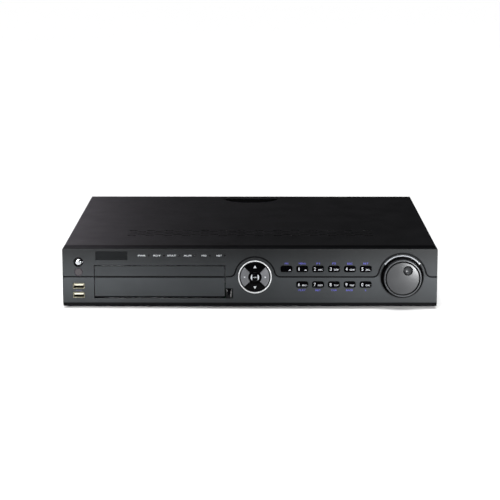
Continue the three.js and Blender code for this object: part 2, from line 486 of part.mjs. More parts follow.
// ---------------------------------------------------------------- rear panel and its connectors
const BNC_X = [190, 173, 156, 139], BNC_Z = [26, 46];
const RCA_X = [114, 99], RCA_Z = [26, 42];
const VGA = [72, 25], HDMI = [38, 24], LAN = [12, 26], TERM = [44, 48], INLET = [-184, 26], SWITCH = [-156, 26];
const FAN_X = -80, FAN_Z = 36;
{
  const holes = [];
  for (const x of BNC_X) for (const z of BNC_Z) holes.push(cylY(x, z, 5.3, 380, 395, 12));
  for (const x of RCA_X) for (const z of RCA_Z) holes.push(cylY(x, z, 4.7, 380, 395, 12));
  holes.push(box(VGA[0] - 9, VGA[0] + 9, 380, 395, VGA[1] - 4.8, VGA[1] + 4.8));
  for (const s of [-1, 1]) holes.push(cylY(VGA[0] + s * 12.5, VGA[1], 2.6, 380, 395, 8)); // jack posts
  holes.push(box(HDMI[0] - 8, HDMI[0] + 8, 380, 395, HDMI[1] - 3.4, HDMI[1] + 3.4));
  holes.push(box(LAN[0] - 8.4, LAN[0] + 8.4, 380, 395, LAN[1] - 7.2, LAN[1] + 7.2));
  holes.push(box(TERM[0] - 31, TERM[0] + 31, 380, 395, TERM[1] - 5.9, TERM[1] + 5.9));
  holes.push(box(-198.3, -145.7, 380, 395, 15.2, 36.8));
  for (let i = -4; i <= 4; i++) {
    const h = i * 5.6, half = Math.sqrt(27 * 27 - h * h);
    holes.push(box(FAN_X - half, FAN_X - 1.2, 380, 395, FAN_Z + h - 1.7, FAN_Z + h + 1.7));
    holes.push(box(FAN_X + 1.2, FAN_X + half, 380, 395, FAN_Z + h - 1.7, FAN_Z + h + 1.7));
  }
  for (const x of [-150, 150]) holes.push(cylY(x, 67.5, 1.8, 380, 395, 8));
  // two sheets meet at a seam between the fan and the sockets
  add("rear_panel", cut(box(-W / 2 + 3, -44.1, 387.8, 388.8, 6, 70.5), holes), M.cover);
  add("connector_panel", cut(box(-43.9, W / 2 - 3, 387.8, 388.8, 6, 70.5), holes), M.cover);

  // video inputs: eight bayonet sockets on one moulded block
  {
    let v = box(131, 198, 376, 387.4, 16, 56);
    for (const x of BNC_X)
      for (const z of BNC_Z) {
        v = v.add(
          turned(x, z, [[0, 386], [4.8, 386], [4.8, 399.6], [4.1, 400], [4.1, 391], [2.3, 391], [2.3, 397], [0, 397]], 12),
        ).add(box(x - 5.6, x + 5.6, 394.5, 396.3, z - 0.9, z + 0.9).subtract(cylY(x, z, 4.5, 394, 397, 8)));
      }
    add("video_input_block", v, M.nickel);
  }
  {
    let v = box(91, 122, 377, 387.4, 17.5, 50.5);
    for (const x of RCA_X)
      for (const z of RCA_Z)
        v = v.add(turned(x, z, [[0, 386], [4.2, 386], [4.2, 397.6], [3.8, 398], [1.7, 398], [1.7, 389], [0, 389]], 14));
    add("audio_jack_block", v, M.nickel);
  }
  {
    // a D-shaped shell on its flange, with two hexagonal jack posts
    const d = (w, h, y0, y1) => {
      const s = new THREE.Shape();
      s.setFromPoints([[-w / 2 + 1.2, -h / 2], [w / 2 - 1.2, -h / 2], [w / 2, h / 2], [-w / 2, h / 2]].map(([a, b]) => new THREE.Vector2(VGA[0] + a, VGA[1] + b)));
      return slabY(s, y0, y1);
    };
    let v = d(16.9, 8.3, 378, 394.6).subtract(d(15.9, 7.4, 388.6, 396)).add(box(VGA[0] - 15.4, VGA[0] + 15.4, 386.2, 387.4, VGA[1] - 6.2, VGA[1] + 6.2));
    for (const s of [-1, 1]) v = v.add(cylY(VGA[0] + s * 12.5, VGA[1], 2.2, 387, 393.5, 6));
    v = v.add(box(VGA[0] - 14, VGA[0] + 14, 375, 386.5, 15, VGA[1] + 4));
    add("vga_port", v, M.nickel);
  }
  add(
    "hdmi_port",
    box(HDMI[0] - 7.5, HDMI[0] + 7.5, 377, 389.6, HDMI[1] - 2.9, HDMI[1] + 2.9)
      .subtract(box(HDMI[0] - 7, HDMI[0] + 7, 379.5, 395, HDMI[1] - 2.4, HDMI[1] + 2.4))
      .add(box(HDMI[0] - 6, HDMI[0] + 6, 379, 388, HDMI[1] - 0.4, HDMI[1] + 0.5)),
    M.nickel,
  );
  add(
    "network_port",
    box(LAN[0] - 8, LAN[0] + 8, 374, 389.6, LAN[1] - 6.8, LAN[1] + 6.8)
      .subtract(box(LAN[0] - 5.9, LAN[0] + 5.9, 378, 395, LAN[1] - 5.2, LAN[1] + 3.2))
      .subtract(box(LAN[0] - 3, LAN[0] + 3, 378, 395, LAN[1] - 5.4, LAN[1] + 5.2)),
    M.nickel,
  );
  {
    let t = box(TERM[0] - 30.4, TERM[0] + 30.4, 377, 394, TERM[1] - 5.4, TERM[1] + 5.4);
    const c = [];
    for (let i = 0; i < 12; i++) {
      const x = TERM[0] - 30.4 + 2.6 + i * 5.06;
      c.push(box(x - 1.5, x + 1.5, 390, 396, TERM[1] - 4, TERM[1] - 0.4), cylZ(x, 391.3, 1.5, TERM[1] + 3.5, TERM[1] + 7, 8));
    }
    t = t.subtract(union(c));
    add("alarm_terminal_block", t, M.terminal);
  }
  {
    // mains inlet and switch housing in one moulding
    let p = box(-198, -146, 372, 389.4, 15.5, 36.5).add(box(-200.5, -143.5, 389.1, 391, 12.5, 39.5));
    const s = new THREE.Shape();
    s.setFromPoints([[-12.1, -8.1], [12.1, -8.1], [12.1, 4.2], [8.2, 8.1], [-8.2, 8.1], [-12.1, 4.2]].map(([a, b]) => new THREE.Vector2(INLET[0] + a, INLET[1] + b)));
    p = p.subtract(slabY(s, 375, 396)).subtract(box(SWITCH[0] - 6.8, SWITCH[0] + 6.8, 380, 396, SWITCH[1] - 9.9, SWITCH[1] + 9.9));
    p = p.add(box(INLET[0] - 8, INLET[0] - 6, 374, 386, INLET[1] - 4.2, INLET[1] - 0.2)).add(box(INLET[0] + 6, INLET[0] + 8, 374, 386, INLET[1] - 4.2, INLET[1] - 0.2)).add(box(INLET[0] - 1, INLET[0] + 1, 374, 386, INLET[1] + 0.3, INLET[1] + 4.3));
    add("power_inlet", p, M.black);
    const r = solid(
      new THREE.ExtrudeGeometry(
        new THREE.Shape([[-8.9, -2.6], [-3, -3.4], [3, -3.4], [8.9, -2.6], [8.9, 3.4], [4.4, 2.7], [0, 2.4], [-4.4, 2.7], [-8.9, 3.4]].map(([z, y]) => new THREE.Vector2(y, z))),
        { depth: 12.8, bevelEnabled: false },
      )
        .translate(0, 0, -6.4)
        .rotateX(Math.PI / 2)
        .rotateZ(Math.PI / 2)
        .rotateX(THREE.MathUtils.degToRad(10))
        .translate(SWITCH[0], 388.4, SWITCH[1]),
    );
    add("power_switch", r, M.black);
  }
}

// ---------------------------------------------------------------- cooling fan
{
  let f = box(FAN_X - 30, FAN_X + 30, 372, 387, FAN_Z - 30, FAN_Z + 30);
  f = f.subtract(cylY(FAN_X, FAN_Z, 28.6, 360, 390, 32));
  f = f.add(cylY(FAN_X, FAN_Z, 11, 372, 373.6, 20)).add(box(FAN_X - 29, FAN_X + 29, 372, 373.6, FAN_Z - 1.5, FAN_Z + 1.5)).add(box(FAN_X - 1.5, FAN_X + 1.5, 372, 373.6, FAN_Z - 29, FAN_Z + 29));
  for (const sx of [-1, 1]) for (const sz of [-1, 1]) f = f.subtract(cylY(FAN_X + sx * 25, FAN_Z + sz * 25, 2.2, 360, 390, 8));
  f = f.add(cylY(FAN_X, FAN_Z, 2.5, 373, 383, 12));
  add("fan_frame", f, M.black);
  let r = turned(FAN_X, FAN_Z, [[2.8, 383.6], [2.8, 374.6], [12, 374.6], [12, 385.2], [11, 386], [0, 386], [0, 383.6]], 24);
  for (let i = 0; i < 7; i++) {
    const blade = new THREE.BoxGeometry(16, 1.0, 13)
      .rotateX(THREE.MathUtils.degToRad(38))
      .translate(19.4, 0, 0)
      .rotateY((i * 2 * Math.PI) / 7)
      .translate(FAN_X, 380.2, FAN_Z);
    r = r.add(solid(blade));
  }
  add("fan_rotor", r.subtract(cylY(FAN_X, FAN_Z, 2.8, 370, 383.6, 12)), M.black);
}

// ---------------------------------------------------------------- inside
add("main_board", box(-35, 215, 205, 375.5, 13, 14.6).add(box(92, 124, 214, 240, 14.4, 17)).add(box(20, 44, 300, 324, 14.4, 16)).add(box(60, 84, 300, 324, 14.4, 16)).add(box(-20, 4, 260, 284, 14.4, 16)), M.board);
{
  let h = box(110, 152, 262, 304, 15, 19);
  for (let i = 0; i < 9; i++) h = h.add(box(110 + i * 5.1, 111.2 + i * 5.1, 262, 304, 18.5, 36));
  add("processor_heatsink", h, M.fins);
}
for (const [i, x] of [-20, 94].entries())
  add(
    "hard_drive_" + (i + 1),
    cut(box(x, x + 101.6, 46, 193, 7, 33.1), [box(x + 5, x + 96.6, 52, 188, 6, 15), box(x + 4, x + 97.6, 50, 185, 32.3, 34)]),
    M.cast,
  );
add(
  "power_supply",
  cut(box(-217, -128, 235, 368, 7, 60), [box(-215.8, -129.2, 236.2, 366.8, 6, 58.8), ...Array.from({ length: 7 }, (_, i) => box(-205 + i * 10, -201 + i * 10, 250, 350, 58, 62))]),
  M.steel,
);

// ---------------------------------------------------------------- feet
for (const [name, x, y] of [["foot_front_left", -185, 62], ["foot_front_right", 185, 62], ["foot_rear_left", -185, 345], ["foot_rear_right", 185, 345]])
  add(
    name,
    solid(
      new THREE.LatheGeometry([[0, 0], [12, 0], [13, 0.8], [14, FLOOR_Z - 0.1], [0, FLOOR_Z - 0.1]].map(([r, z]) => new THREE.Vector2(r, z)), 20)
        .rotateX(Math.PI / 2)
        .translate(x, y, 0),
    ),
    M.rubber,
  );

// ---------------------------------------------------------------- place the origin
const root = new THREE.Group();
assembly.position.set(0, -(400 - DIAL_OUT) / 2, 0);
root.add(assembly);
export default root;
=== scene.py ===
# Rack-width digital video recorder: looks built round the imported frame.
import math
import bpy
import bmesh
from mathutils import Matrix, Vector, geometry


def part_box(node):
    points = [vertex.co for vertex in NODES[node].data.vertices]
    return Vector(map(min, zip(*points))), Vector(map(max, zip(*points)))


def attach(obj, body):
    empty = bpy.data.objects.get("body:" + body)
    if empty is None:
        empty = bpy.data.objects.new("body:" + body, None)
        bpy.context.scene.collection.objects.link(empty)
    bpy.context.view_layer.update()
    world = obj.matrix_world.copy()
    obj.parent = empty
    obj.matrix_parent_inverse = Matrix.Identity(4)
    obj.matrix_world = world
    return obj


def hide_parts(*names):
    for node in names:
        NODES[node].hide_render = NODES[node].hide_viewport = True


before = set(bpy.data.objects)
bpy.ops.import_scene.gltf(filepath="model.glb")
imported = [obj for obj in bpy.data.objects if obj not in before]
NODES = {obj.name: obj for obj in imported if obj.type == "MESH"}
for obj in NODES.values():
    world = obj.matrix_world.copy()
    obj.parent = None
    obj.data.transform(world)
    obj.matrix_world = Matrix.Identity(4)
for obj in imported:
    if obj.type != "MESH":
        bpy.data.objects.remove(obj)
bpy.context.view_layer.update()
BEZ0, BEZ1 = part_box("front_bezel")
YF, TOP_M = BEZ0[1], BEZ1[2]
MM = 0.001
rad = math.radians

# layout in millimetres: x to the right, y from the front face backwards, z above the floor
W2 = 222.5
TOP = 73.0
GROOVE_Z, GH = 39.1, 0.82
NAV = (6.0, 39.1)
JOG = (180.8, 39.2)
LEFT_X, POWER_Z, IR_Z, USB_Z = -203.4, 56.9, 44.9, (28.1, 17.1)
FLAP = (-184.35, -29.75, 14.0, 52.35)
EJ = (-28.9, -20.8, 13.5, 24.7)
KEYS = [(n, 43.4 + 18.8 * i, 48.9) for i, n in enumerate(("key_shift", "key_1", "key_2", "key_3", "key_4", "key_5"))]
KEYS += [(n, 43.4 + 18.8 * (i + 1), 30.0) for i, n in enumerate(("key_6", "key_7", "key_8", "key_9", "key_0"))]
KW, KH, KR = 13.8, 7.3, 2.5
LEDS = [(-120 + 18.08 * i, 64.85) for i in range(6)]


def P(x, y, z):
    return (x * MM, YF + y * MM, z * MM)


# ------------------------------------------------------------------ materials
def new_material(name):
    m = bpy.data.materials.new(name)
    m.use_nodes = True
    nt = m.node_tree
    nt.nodes.clear()
    out = nt.nodes.new("ShaderNodeOutputMaterial")
    b = nt.nodes.new("ShaderNodeBsdfPrincipled")
    nt.links.new(b.outputs["BSDF"], out.inputs["Surface"])
    return m, nt, b


def surface(name, col, rough, metal=0.0, spec=0.5, coat=0.0, coat_rough=0.1, grain=900.0, bump=0.02,
            vary=0.12, rough_vary=0.05, stretch=None, painted_shade_stops=None, trans=0.0, ior=1.45):
    """A moulded, painted or plated finish: colour mottling, roughness mottling and a fine surface bump; where height
    stops are given, painted shade darkens the colour by height.
    """
    m, nt, b = new_material(name)
    N, L = nt.nodes, nt.links
    tc = N.new("ShaderNodeTexCoord")
    mp = N.new("ShaderNodeMapping")
    L.new(tc.outputs["Object"], mp.inputs["Vector"])
    if stretch:
        mp.inputs["Scale"].default_value = stretch
    fine = N.new("ShaderNodeTexNoise")
    fine.inputs["Scale"].default_value = grain
    fine.inputs["Detail"].default_value = 3.0
    fine.inputs["Roughness"].default_value = 0.6
    L.new(mp.outputs["Vector"], fine.inputs["Vector"])
    broad = N.new("ShaderNodeTexNoise")
    broad.inputs["Scale"].default_value = max(grain / 60.0, 6.0)
    broad.inputs["Detail"].default_value = 4.0
    L.new(tc.outputs["Object"], broad.inputs["Vector"])
    mixf = N.new("ShaderNodeMath")
    mixf.operation = "ADD"
    L.new(fine.outputs["Fac"], mixf.inputs[0])
    L.new(broad.outputs["Fac"], mixf.inputs[1])
    ramp = N.new("ShaderNodeValToRGB")
    lo = [max(c * (1 - vary), 0) for c in col]
    hi = [min(c * (1 + vary), 1) for c in col]
    ramp.color_ramp.elements[0].position = 0.35
    ramp.color_ramp.elements[1].position = 0.65
    ramp.color_ramp.elements[0].color = (*lo, 1)
    ramp.color_ramp.elements[1].color = (*hi, 1)
    half = N.new("ShaderNodeMath")
    half.operation = "MULTIPLY"
    half.inputs[1].default_value = 0.5
    L.new(mixf.outputs[0], half.inputs[0])
    L.new(half.outputs[0], ramp.inputs["Fac"])
    if painted_shade_stops:
        # painted shade over the height of the moulding: the colour is multiplied by a factor that falls away from the
        # groove towards the top and bottom edges, given as (height in mm, factor) stops
        sep = N.new("ShaderNodeSeparateXYZ")
        L.new(tc.outputs["Object"], sep.inputs["Vector"])
        hr = N.new("ShaderNodeMapRange")
        hr.inputs["From Min"].default_value = 0.0
        hr.inputs["From Max"].default_value = 0.08
        L.new(sep.outputs["Z"], hr.inputs["Value"])
        fr = N.new("ShaderNodeValToRGB")
        el = fr.color_ramp.elements
        while len(el) < len(painted_shade_stops):
            el.new(0.5)
        for e, (h, f) in zip(el, painted_shade_stops):
            e.position = h / 80.0
            e.color = (f, f, f, 1)
        L.new(hr.outputs["Result"], fr.inputs["Fac"])
        mul = N.new("ShaderNodeMix")
        mul.data_type = "RGBA"
        mul.blend_type = "MULTIPLY"
        mul.inputs["Factor"].default_value = 1.0
        L.new(ramp.outputs["Color"], mul.inputs["A"])
        L.new(fr.outputs["Color"], mul.inputs["B"])
        L.new(mul.outputs["Result"], b.inputs["Base Color"])
    else:
        L.new(ramp.outputs["Color"], b.inputs["Base Color"])
    rr = N.new("ShaderNodeMapRange")
    rr.inputs["From Min"].default_value = 0.3
    rr.inputs["From Max"].default_value = 0.7
    rr.inputs["To Min"].default_value = max(rough - rough_vary, 0.02)
    rr.inputs["To Max"].default_value = min(rough + rough_vary, 1.0)
    L.new(half.outputs[0], rr.inputs["Value"])
    L.new(rr.outputs["Result"], b.inputs["Roughness"])
    if bump:
        bn = N.new("ShaderNodeBump")
        bn.inputs["Strength"].default_value = 1.0
        bn.inputs["Distance"].default_value = bump * MM
        L.new(fine.outputs["Fac"], bn.inputs["Height"])
        L.new(bn.outputs["Normal"], b.inputs["Normal"])
    b.inputs["Metallic"].default_value = metal
    b.inputs["Specular IOR Level"].default_value = spec
    b.inputs["Coat Weight"].default_value = coat
    b.inputs["Coat Roughness"].default_value = coat_rough
    b.inputs["IOR"].default_value = ior
    if trans:
        b.inputs["Transmission Weight"].default_value = trans
    return m


M = {
    # the bezel grey carries painted shade: darker towards its top and bottom edges, lightest beside the groove
    "bezel": surface("bezel_paint_painted_shade", (0.0240, 0.0268, 0.0292), 0.42, spec=0.19, grain=2600, bump=0.006, vary=0.10,
                     painted_shade_stops=((8, 0.56), (24, 0.80), (38.5, 1.0), (39.8, 0.76), (54, 0.60), (70, 0.26))),
    # a near-black copy of the bezel grey for its walls, hole walls and the drive flap's edges: painted shade on
    # surfaces that turn away from the face
    "chamfer": surface("bezel_edge_painted_shade", (0.0017, 0.0018, 0.0021), 0.45, spec=0.045, grain=2600, bump=0.006),
    # near-black for groove and gap floors, the pad's floor, hole walls, socket holes and screw slots: painted shade in
    # hollows
    "groove": surface("hollows_painted_shade_black", (0.0025, 0.0025, 0.003), 0.5, spec=0.06, grain=1500, bump=0.01),
    "cover": surface("cover_powder_coat", (0.0022, 0.0022, 0.0027), 0.42, spec=0.34, grain=2200, bump=0.020, vary=0.25),
    "gloss": surface("key_gloss_black", (0.0010, 0.0010, 0.0012), 0.07, spec=0.045, grain=700, bump=0.0, vary=0.2, rough_vary=0.02),
    # a lighter copy of the key gloss for the left and right pad wedges: painted sheen standing for the side lamps'
    # reflection
    "gloss_side": surface("nav_side_painted_sheen", (0.085, 0.087, 0.094), 0.22, spec=0.4, grain=700, bump=0.0, vary=0.2, rough_vary=0.02),
    "chrome": surface("nav_ring_plating", (0.56, 0.57, 0.58), 0.42, metal=0.45, grain=900, bump=0.0, vary=0.03, rough_vary=0.02),
    "dial": surface("dial_satin", (0.021, 0.0222, 0.0242), 0.31, metal=0.45, spec=1.0, grain=3000, bump=0.006, vary=0.10),
    "dish": surface("dial_dish_satin", (0.020, 0.021, 0.023), 0.36, metal=0.2, spec=0.3, grain=3000, bump=0.004, vary=0.10),
    "ring": surface("shuttle_satin", (0.040, 0.042, 0.045), 0.40, metal=0.35, spec=0.4, grain=3000, bump=0.006, vary=0.10),
    # near-black for the jog recess and the wall of the dial's finger dish: painted shade in these recesses
    "well": surface("jog_well_painted_shade", (0.0022, 0.0022, 0.0025), 0.35, spec=0.10, grain=1500, bump=0.006),
    "arc": surface("shuttle_scale_grey", (0.21, 0.22, 0.235), 0.25, spec=0.6, grain=900, bump=0.0, vary=0.04),
    "silver": surface("power_cap_silver", (0.52, 0.54, 0.56), 0.16, metal=1.0, grain=900, bump=0.0, vary=0.06),
    "black": surface("moulded_black", (0.006, 0.006, 0.0065), 0.5, spec=0.25, grain=1800, bump=0.02),
    "smoke": surface("receiver_window", (0.034, 0.031, 0.033), 0.2, spec=0.25, grain=800, bump=0.0, vary=0.15),
    "smoke_rim": surface("receiver_rim", (0.016, 0.010, 0.016), 0.3, spec=0.2, grain=800, bump=0.0),
    "nickel": surface("port_nickel", (0.62, 0.60, 0.52), 0.26, metal=1.0, grain=1200, bump=0.004, vary=0.08),
    "cream": surface("port_tongue", (0.47, 0.45, 0.36), 0.4, grain=1500, bump=0.01, vary=0.06),
    "gold": surface("contact_gold", (0.78, 0.55, 0.22), 0.22, metal=1.0, grain=1500, bump=0.0, vary=0.08),
    "plate": surface("name_plate_dark", (0.0026, 0.0031, 0.0036), 0.42, spec=0.09, grain=2400, bump=0.006),
    "led": surface("status_light_off", (0.003, 0.0035, 0.0035), 0.15, spec=0.2, grain=900, bump=0.0),
    # light grey key print; the letters in the keys' lower right corners also stand in for glare as painted highlight
    "print_dim": surface("key_print_and_painted_glare", (0.34, 0.35, 0.37), 0.5, spec=0.2, grain=2500, bump=0.004, vary=0.05),
    "shell": surface("port_shell", (0.36, 0.34, 0.25), 0.30, metal=1.0, grain=1200, bump=0.004, vary=0.08),
    # a darker copy of the shell plating for its inside walls: painted shade in the port
    "shell_painted_shade": surface("port_shell_inner_painted_shade", (0.10, 0.092, 0.062), 0.4, metal=1.0, grain=1200, bump=0.004, vary=0.08),
    # a darker copy of the cover black for the vent slots' walls: painted shade in the slots
    "slot": surface("cover_slot_painted_shade", (0.0004, 0.0004, 0.0004), 0.9, spec=0.0, grain=2200, bump=0.01, vary=0.25),
    # a darker copy of the cover black for the finger scoop: painted shade in the recess
    "recess": surface("cover_recess_painted_shade", (0.0009, 0.0009, 0.0011), 0.7, spec=0.03, grain=2200, bump=0.020, vary=0.25),
    "eject": surface("eject_gloss_black", (0.0015, 0.0015, 0.0018), 0.09, spec=0.14, grain=700, bump=0.0, vary=0.2, rough_vary=0.02),
    "mark_ink": surface("print_port_mark", (0.045, 0.042, 0.085), 0.5, spec=0.2, grain=2500, bump=0.004, vary=0.05),
    # a near-black copy of the shuttle satin for the ring's and the dial's sides and edges: painted shade
    "ring_side_painted_shade": surface("shuttle_side_painted_shade", (0.0035, 0.0036, 0.004), 0.32, spec=0.15, grain=2000, bump=0.006),
    "link_green": surface("link_light_green", (0.05, 0.30, 0.06), 0.3, spec=0.5, grain=900, bump=0.0),
    "link_amber": surface("link_light_amber", (0.45, 0.22, 0.02), 0.3, spec=0.5, grain=900, bump=0.0),
    "white_ink": surface("print_white", (0.72, 0.73, 0.75), 0.5, grain=2500, bump=0.004, vary=0.05),
    "grey_ink": surface("print_grey", (0.42, 0.44, 0.46), 0.5, grain=2500, bump=0.004, vary=0.05),
    "blue_ink": surface("print_violet", (0.062, 0.062, 0.29), 0.5, spec=0.2, grain=2500, bump=0.004, vary=0.05),
    "dark_ink": surface("print_dark", (0.05, 0.05, 0.055), 0.5, grain=2500, bump=0.004, vary=0.05),
    "steel": surface("plated_sheet", (0.56, 0.57, 0.58), 0.38, metal=1.0, grain=240, bump=0.004, vary=0.12, stretch=(1, 14, 14)),
    "cast": surface("cast_alloy", (0.42, 0.43, 0.44), 0.5, metal=0.9, grain=900, bump=0.03, vary=0.12),
    "fins": surface("fin_alloy", (0.62, 0.63, 0.65), 0.32, metal=1.0, grain=400, bump=0.01, vary=0.08, stretch=(1, 8, 1)),
    "board": surface("board_green", (0.012, 0.085, 0.035), 0.35, spec=0.5, coat=0.4, grain=420, bump=0.02, vary=0.35),
    "terminal": surface("terminal_green", (0.02, 0.16, 0.055), 0.42, grain=1500, bump=0.02, vary=0.1),
    "rubber": surface("foot_rubber", (0.012, 0.012, 0.012), 0.85, spec=0.3, grain=1600, bump=0.05, vary=0.2),
    "screw": surface("screw_zinc", (0.60, 0.61, 0.62), 0.28, metal=1.0, grain=700, bump=0.004, vary=0.08),
    "vga_blue": surface("video_insert_blue", (0.02, 0.05, 0.30), 0.4, grain=1500, bump=0.01, vary=0.08),
    "red": surface("jack_red", (0.42, 0.02, 0.02), 0.38, grain=1500, bump=0.01, vary=0.08),
    "white": surface("jack_white", (0.75, 0.75, 0.73), 0.38, grain=1500, bump=0.01, vary=0.05),
}


# ------------------------------------------------------------------ outlines
def circ(cx, cz, r, n=96):
    return [(cx + r * math.cos(2 * math.pi * i / n), cz + r * math.sin(2 * math.pi * i / n)) for i in range(n)]


def rounded(poly, n=5):
    """A closed outline from (x, z, corner radius) points."""
    out = []
    k = len(poly)
    for i, (x, z, r) in enumerate(poly):
        if r <= 0:
            out.append((x, z))
            continue
        a, b, c = Vector(poly[i - 1][:2]), Vector((x, z)), Vector(poly[(i + 1) % k][:2])
        u, v = (a - b).normalized(), (c - b).normalized()
        ang = u.angle(v)
        d = min(r / math.tan(ang / 2), (a - b).length * 0.49, (c - b).length * 0.49)
        rr = d * math.tan(ang / 2)
        cen = b + (u + v).normalized() * (rr / math.sin(ang / 2))
        p0, p1 = b + u * d, b + v * d
        a0 = math.atan2(p0.y - cen.y, p0.x - cen.x)
        a1 = math.atan2(p1.y - cen.y, p1.x - cen.x)
        da = (a1 - a0 + math.pi) % (2 * math.pi) - math.pi
        for j in range(n + 1):
            t = a0 + da * j / n
            out.append((cen.x + rr * math.cos(t), cen.y + rr * math.sin(t)))
    return out


def rrect(cx, cz, w, h, r, n=6):
    return rounded([(cx - w / 2, cz - h / 2, r), (cx + w / 2, cz - h / 2, r), (cx + w / 2, cz + h / 2, r), (cx - w / 2, cz + h / 2, r)], n)


def rect(x0, x1, z0, z1, r=0.0, n=4):
    return rounded([(x0, z0, r), (x1, z0, r), (x1, z1, r), (x0, z1, r)], n)


def band(cx, cz, r0, r1, a0, a1, n=40):
    """A closed arc strip between two radii, angles in degrees."""
    A = [rad(a0 + (a1 - a0) * i / n) for i in range(n + 1)]
    return [(cx + r1 * math.cos(a), cz + r1 * math.sin(a)) for a in A] + [(cx + r0 * math.cos(a), cz + r0 * math.sin(a)) for a in reversed(A)]


def area2(loop):
    return sum(a[0] * b[1] - b[0] * a[1] for a, b in zip(loop, loop[1:] + loop[:1]))


def left_normals(loop):
    n = len(loop)
    out = []
    for i in range(n):
        p, q, r = Vector(loop[i - 1]), Vector(loop[i]), Vector(loop[(i + 1) % n])
        e0, e1 = (q - p).normalized(), (r - q).normalized()
        n0, n1 = Vector((-e0.y, e0.x)), Vector((-e1.y, e1.x))
        s = n0 + n1
        if s.length < 1e-6:
            out.append(n0)
            continue
        s.normalize()
        out.append(s / max(s.dot(n0), 0.35))
    return out


class Build:
    """Collects closed solids and turns them into one smooth-shaded piece."""

    def __init__(self):
        self.v, self.f, self.m = [], [], []

    def ring(self, pts):
        i = len(self.v)
        self.v += pts
        return list(range(i, i + len(pts)))

    def strip(self, a, b, m=0):
        n = len(a)
        for i in range(n):
            j = (i + 1) % n
            self.f.append((a[i], a[j], b[j], b[i]))
            self.m.append(m)

    def fan(self, c, a, m=0):
        n = len(a)
        for i in range(n):
            self.f.append((c, a[i], a[(i + 1) % n]))
            self.m.append(m)

    def cap(self, flat_loops, rings, m=0):
        idx = [i for r in rings for i in r]
        for t in geometry.tessellate_polygon([[Vector((x, z, 0)) for x, z in l] for l in flat_loops]):
            self.f.append(tuple(idx[i] for i in t))
            self.m.append(m)

    def plate(self, outer, holes, mp, f0, f1, lip=0.3, hlip=None, seg=4, m=0, mwall=None, back=0.0):
        """A sheet from depth f0 (front) to f1, with rounded front edges. mp(x, z, depth) gives the point."""
        hlip = lip if hlip is None else hlip
        mwall = m if mwall is None else mwall
        sgn = 1 if f1 > f0 else -1
        fl, bl, fr, br = [], [], [], []
        for k, loop in enumerate([outer] + list(holes)):
            if (area2(loop) > 0) != (k == 0):
                loop = loop[::-1]
            nn = left_normals(loop)
            r = lip if k == 0 else hlip
            prev = None
            steps = seg if r > 0 else 0
            for s in range(steps + 1):
                t = math.pi / 2 * s / max(steps, 1) if steps else math.pi / 2
                ins = r * (1 - math.sin(t))
                d = f0 + sgn * r * (1 - math.cos(t)) if steps else f0
                flat = [(p[0] + q.x * ins, p[1] + q.y * ins) for p, q in zip(loop, nn)]
                ring = self.ring([mp(x, z, d) for x, z in flat])
                if prev is None:
                    fl.append(flat)
                    fr.append(ring)
                else:
                    self.strip(prev, ring, m)
                prev = ring
            if back > 0:
                for s in range(seg + 1):
                    t = math.pi / 2 * s / seg
                    ins = back * (1 - math.cos(t))
                    d = f1 - sgn * back * (1 - math.sin(t))
                    flat = [(p[0] + q.x * ins, p[1] + q.y * ins) for p, q in zip(loop, nn)]
                    ring = self.ring([mp(x, z, d) for x, z in flat])
                    self.strip(prev, ring, mwall)
                    prev = ring
                bl.append(flat)
                br.append(prev)
            else:
                ring = self.ring([mp(x, z, f1) for x, z in loop])
                self.strip(prev, ring, mwall)
                bl.append(list(loop))
                br.append(ring)
        self.cap(fl, fr, m)
        self.cap(bl, br, mwall)
        return self

    def dome(self, outline, mp, surf, f1, lip=0.4, seg=4, rings=8, centre=None, m=0, scale_pow=1.0):
        """A key cap: outline with rounded edge, and a front that follows surf(x, z)."""
        loop = outline if area2(outline) > 0 else outline[::-1]
        nn = left_normals(loop)
        back = self.ring([mp(x, z, f1) for x, z in loop])
        prev = back
        for s in range(seg + 1):
            t = math.pi / 2 * (1 - s / seg)
            ins = lip * (1 - math.sin(t))
            flat = [(p[0] + q.x * ins, p[1] + q.y * ins) for p, q in zip(loop, nn)]
            ring = self.ring([mp(x, z, surf(x, z) + lip * (1 - math.cos(t))) for x, z in flat])
            self.strip(prev, ring, m)
            prev = ring
        c = centre or (sum(p[0] for p in flat) / len(flat), sum(p[1] for p in flat) / len(flat))
        base = flat
        for k in range(1, rings):
            s = 1 - (k / rings) ** scale_pow
            cur = [(c[0] + (x - c[0]) * s, c[1] + (z - c[1]) * s) for x, z in base]
            ring = self.ring([mp(x, z, surf(x, z)) for x, z in cur])
            self.strip(prev, ring, m)
            prev = ring
        tip = self.ring([mp(c[0], c[1], surf(*c))])[0]
        self.fan(tip, prev, m)
        bc = [(p[0], p[1]) for p in loop]
        self.cap([bc], [back], m)
        return self

    def lathe(self, cx, cz, prof, n=96, m=0, mp=P, pick=None):
        """Turns (radius, depth) points about an axis along y. Closed on the axis, or on itself."""
        closed = prof[0][0] > 1e-6 or prof[-1][0] > 1e-6
        rows = []
        for r, y in prof:
            if r < 1e-6:
                rows.append(self.ring([mp(cx, y, cz)]))
            else:
                rows.append(self.ring([mp(cx + r * math.cos(2 * math.pi * i / n), y, cz + r * math.sin(2 * math.pi * i / n)) for i in range(n)]))
        pairs = list(zip(rows, rows[1:], prof, prof[1:])) + ([(rows[-1], rows[0], prof[-1], prof[0])] if closed else [])
        for a, b, q0, q1 in pairs:
            if pick:
                m = pick((q0[0] + q1[0]) / 2, (q0[1] + q1[1]) / 2)
            if len(a) == 1 and len(b) == 1:
                continue
            if len(a) == 1:
                self.fan(a[0], b, m)
            elif len(b) == 1:
                self.fan(b[0], a, m)
            else:
                self.strip(a, b, m)
        return self


def soft_profile(pts, n=5):
    """Rounds the corners of an open (radius, depth, fillet) profile."""
    out = []
    for i, (x, y, r) in enumerate(pts):
        if r <= 0 or i in (0, len(pts) - 1):
            out.append((x, y))
            continue
        out += rounded([pts[i - 1][:2] + (0,), (x, y, r), pts[i + 1][:2] + (0,)], n)[1:-1]
    return out


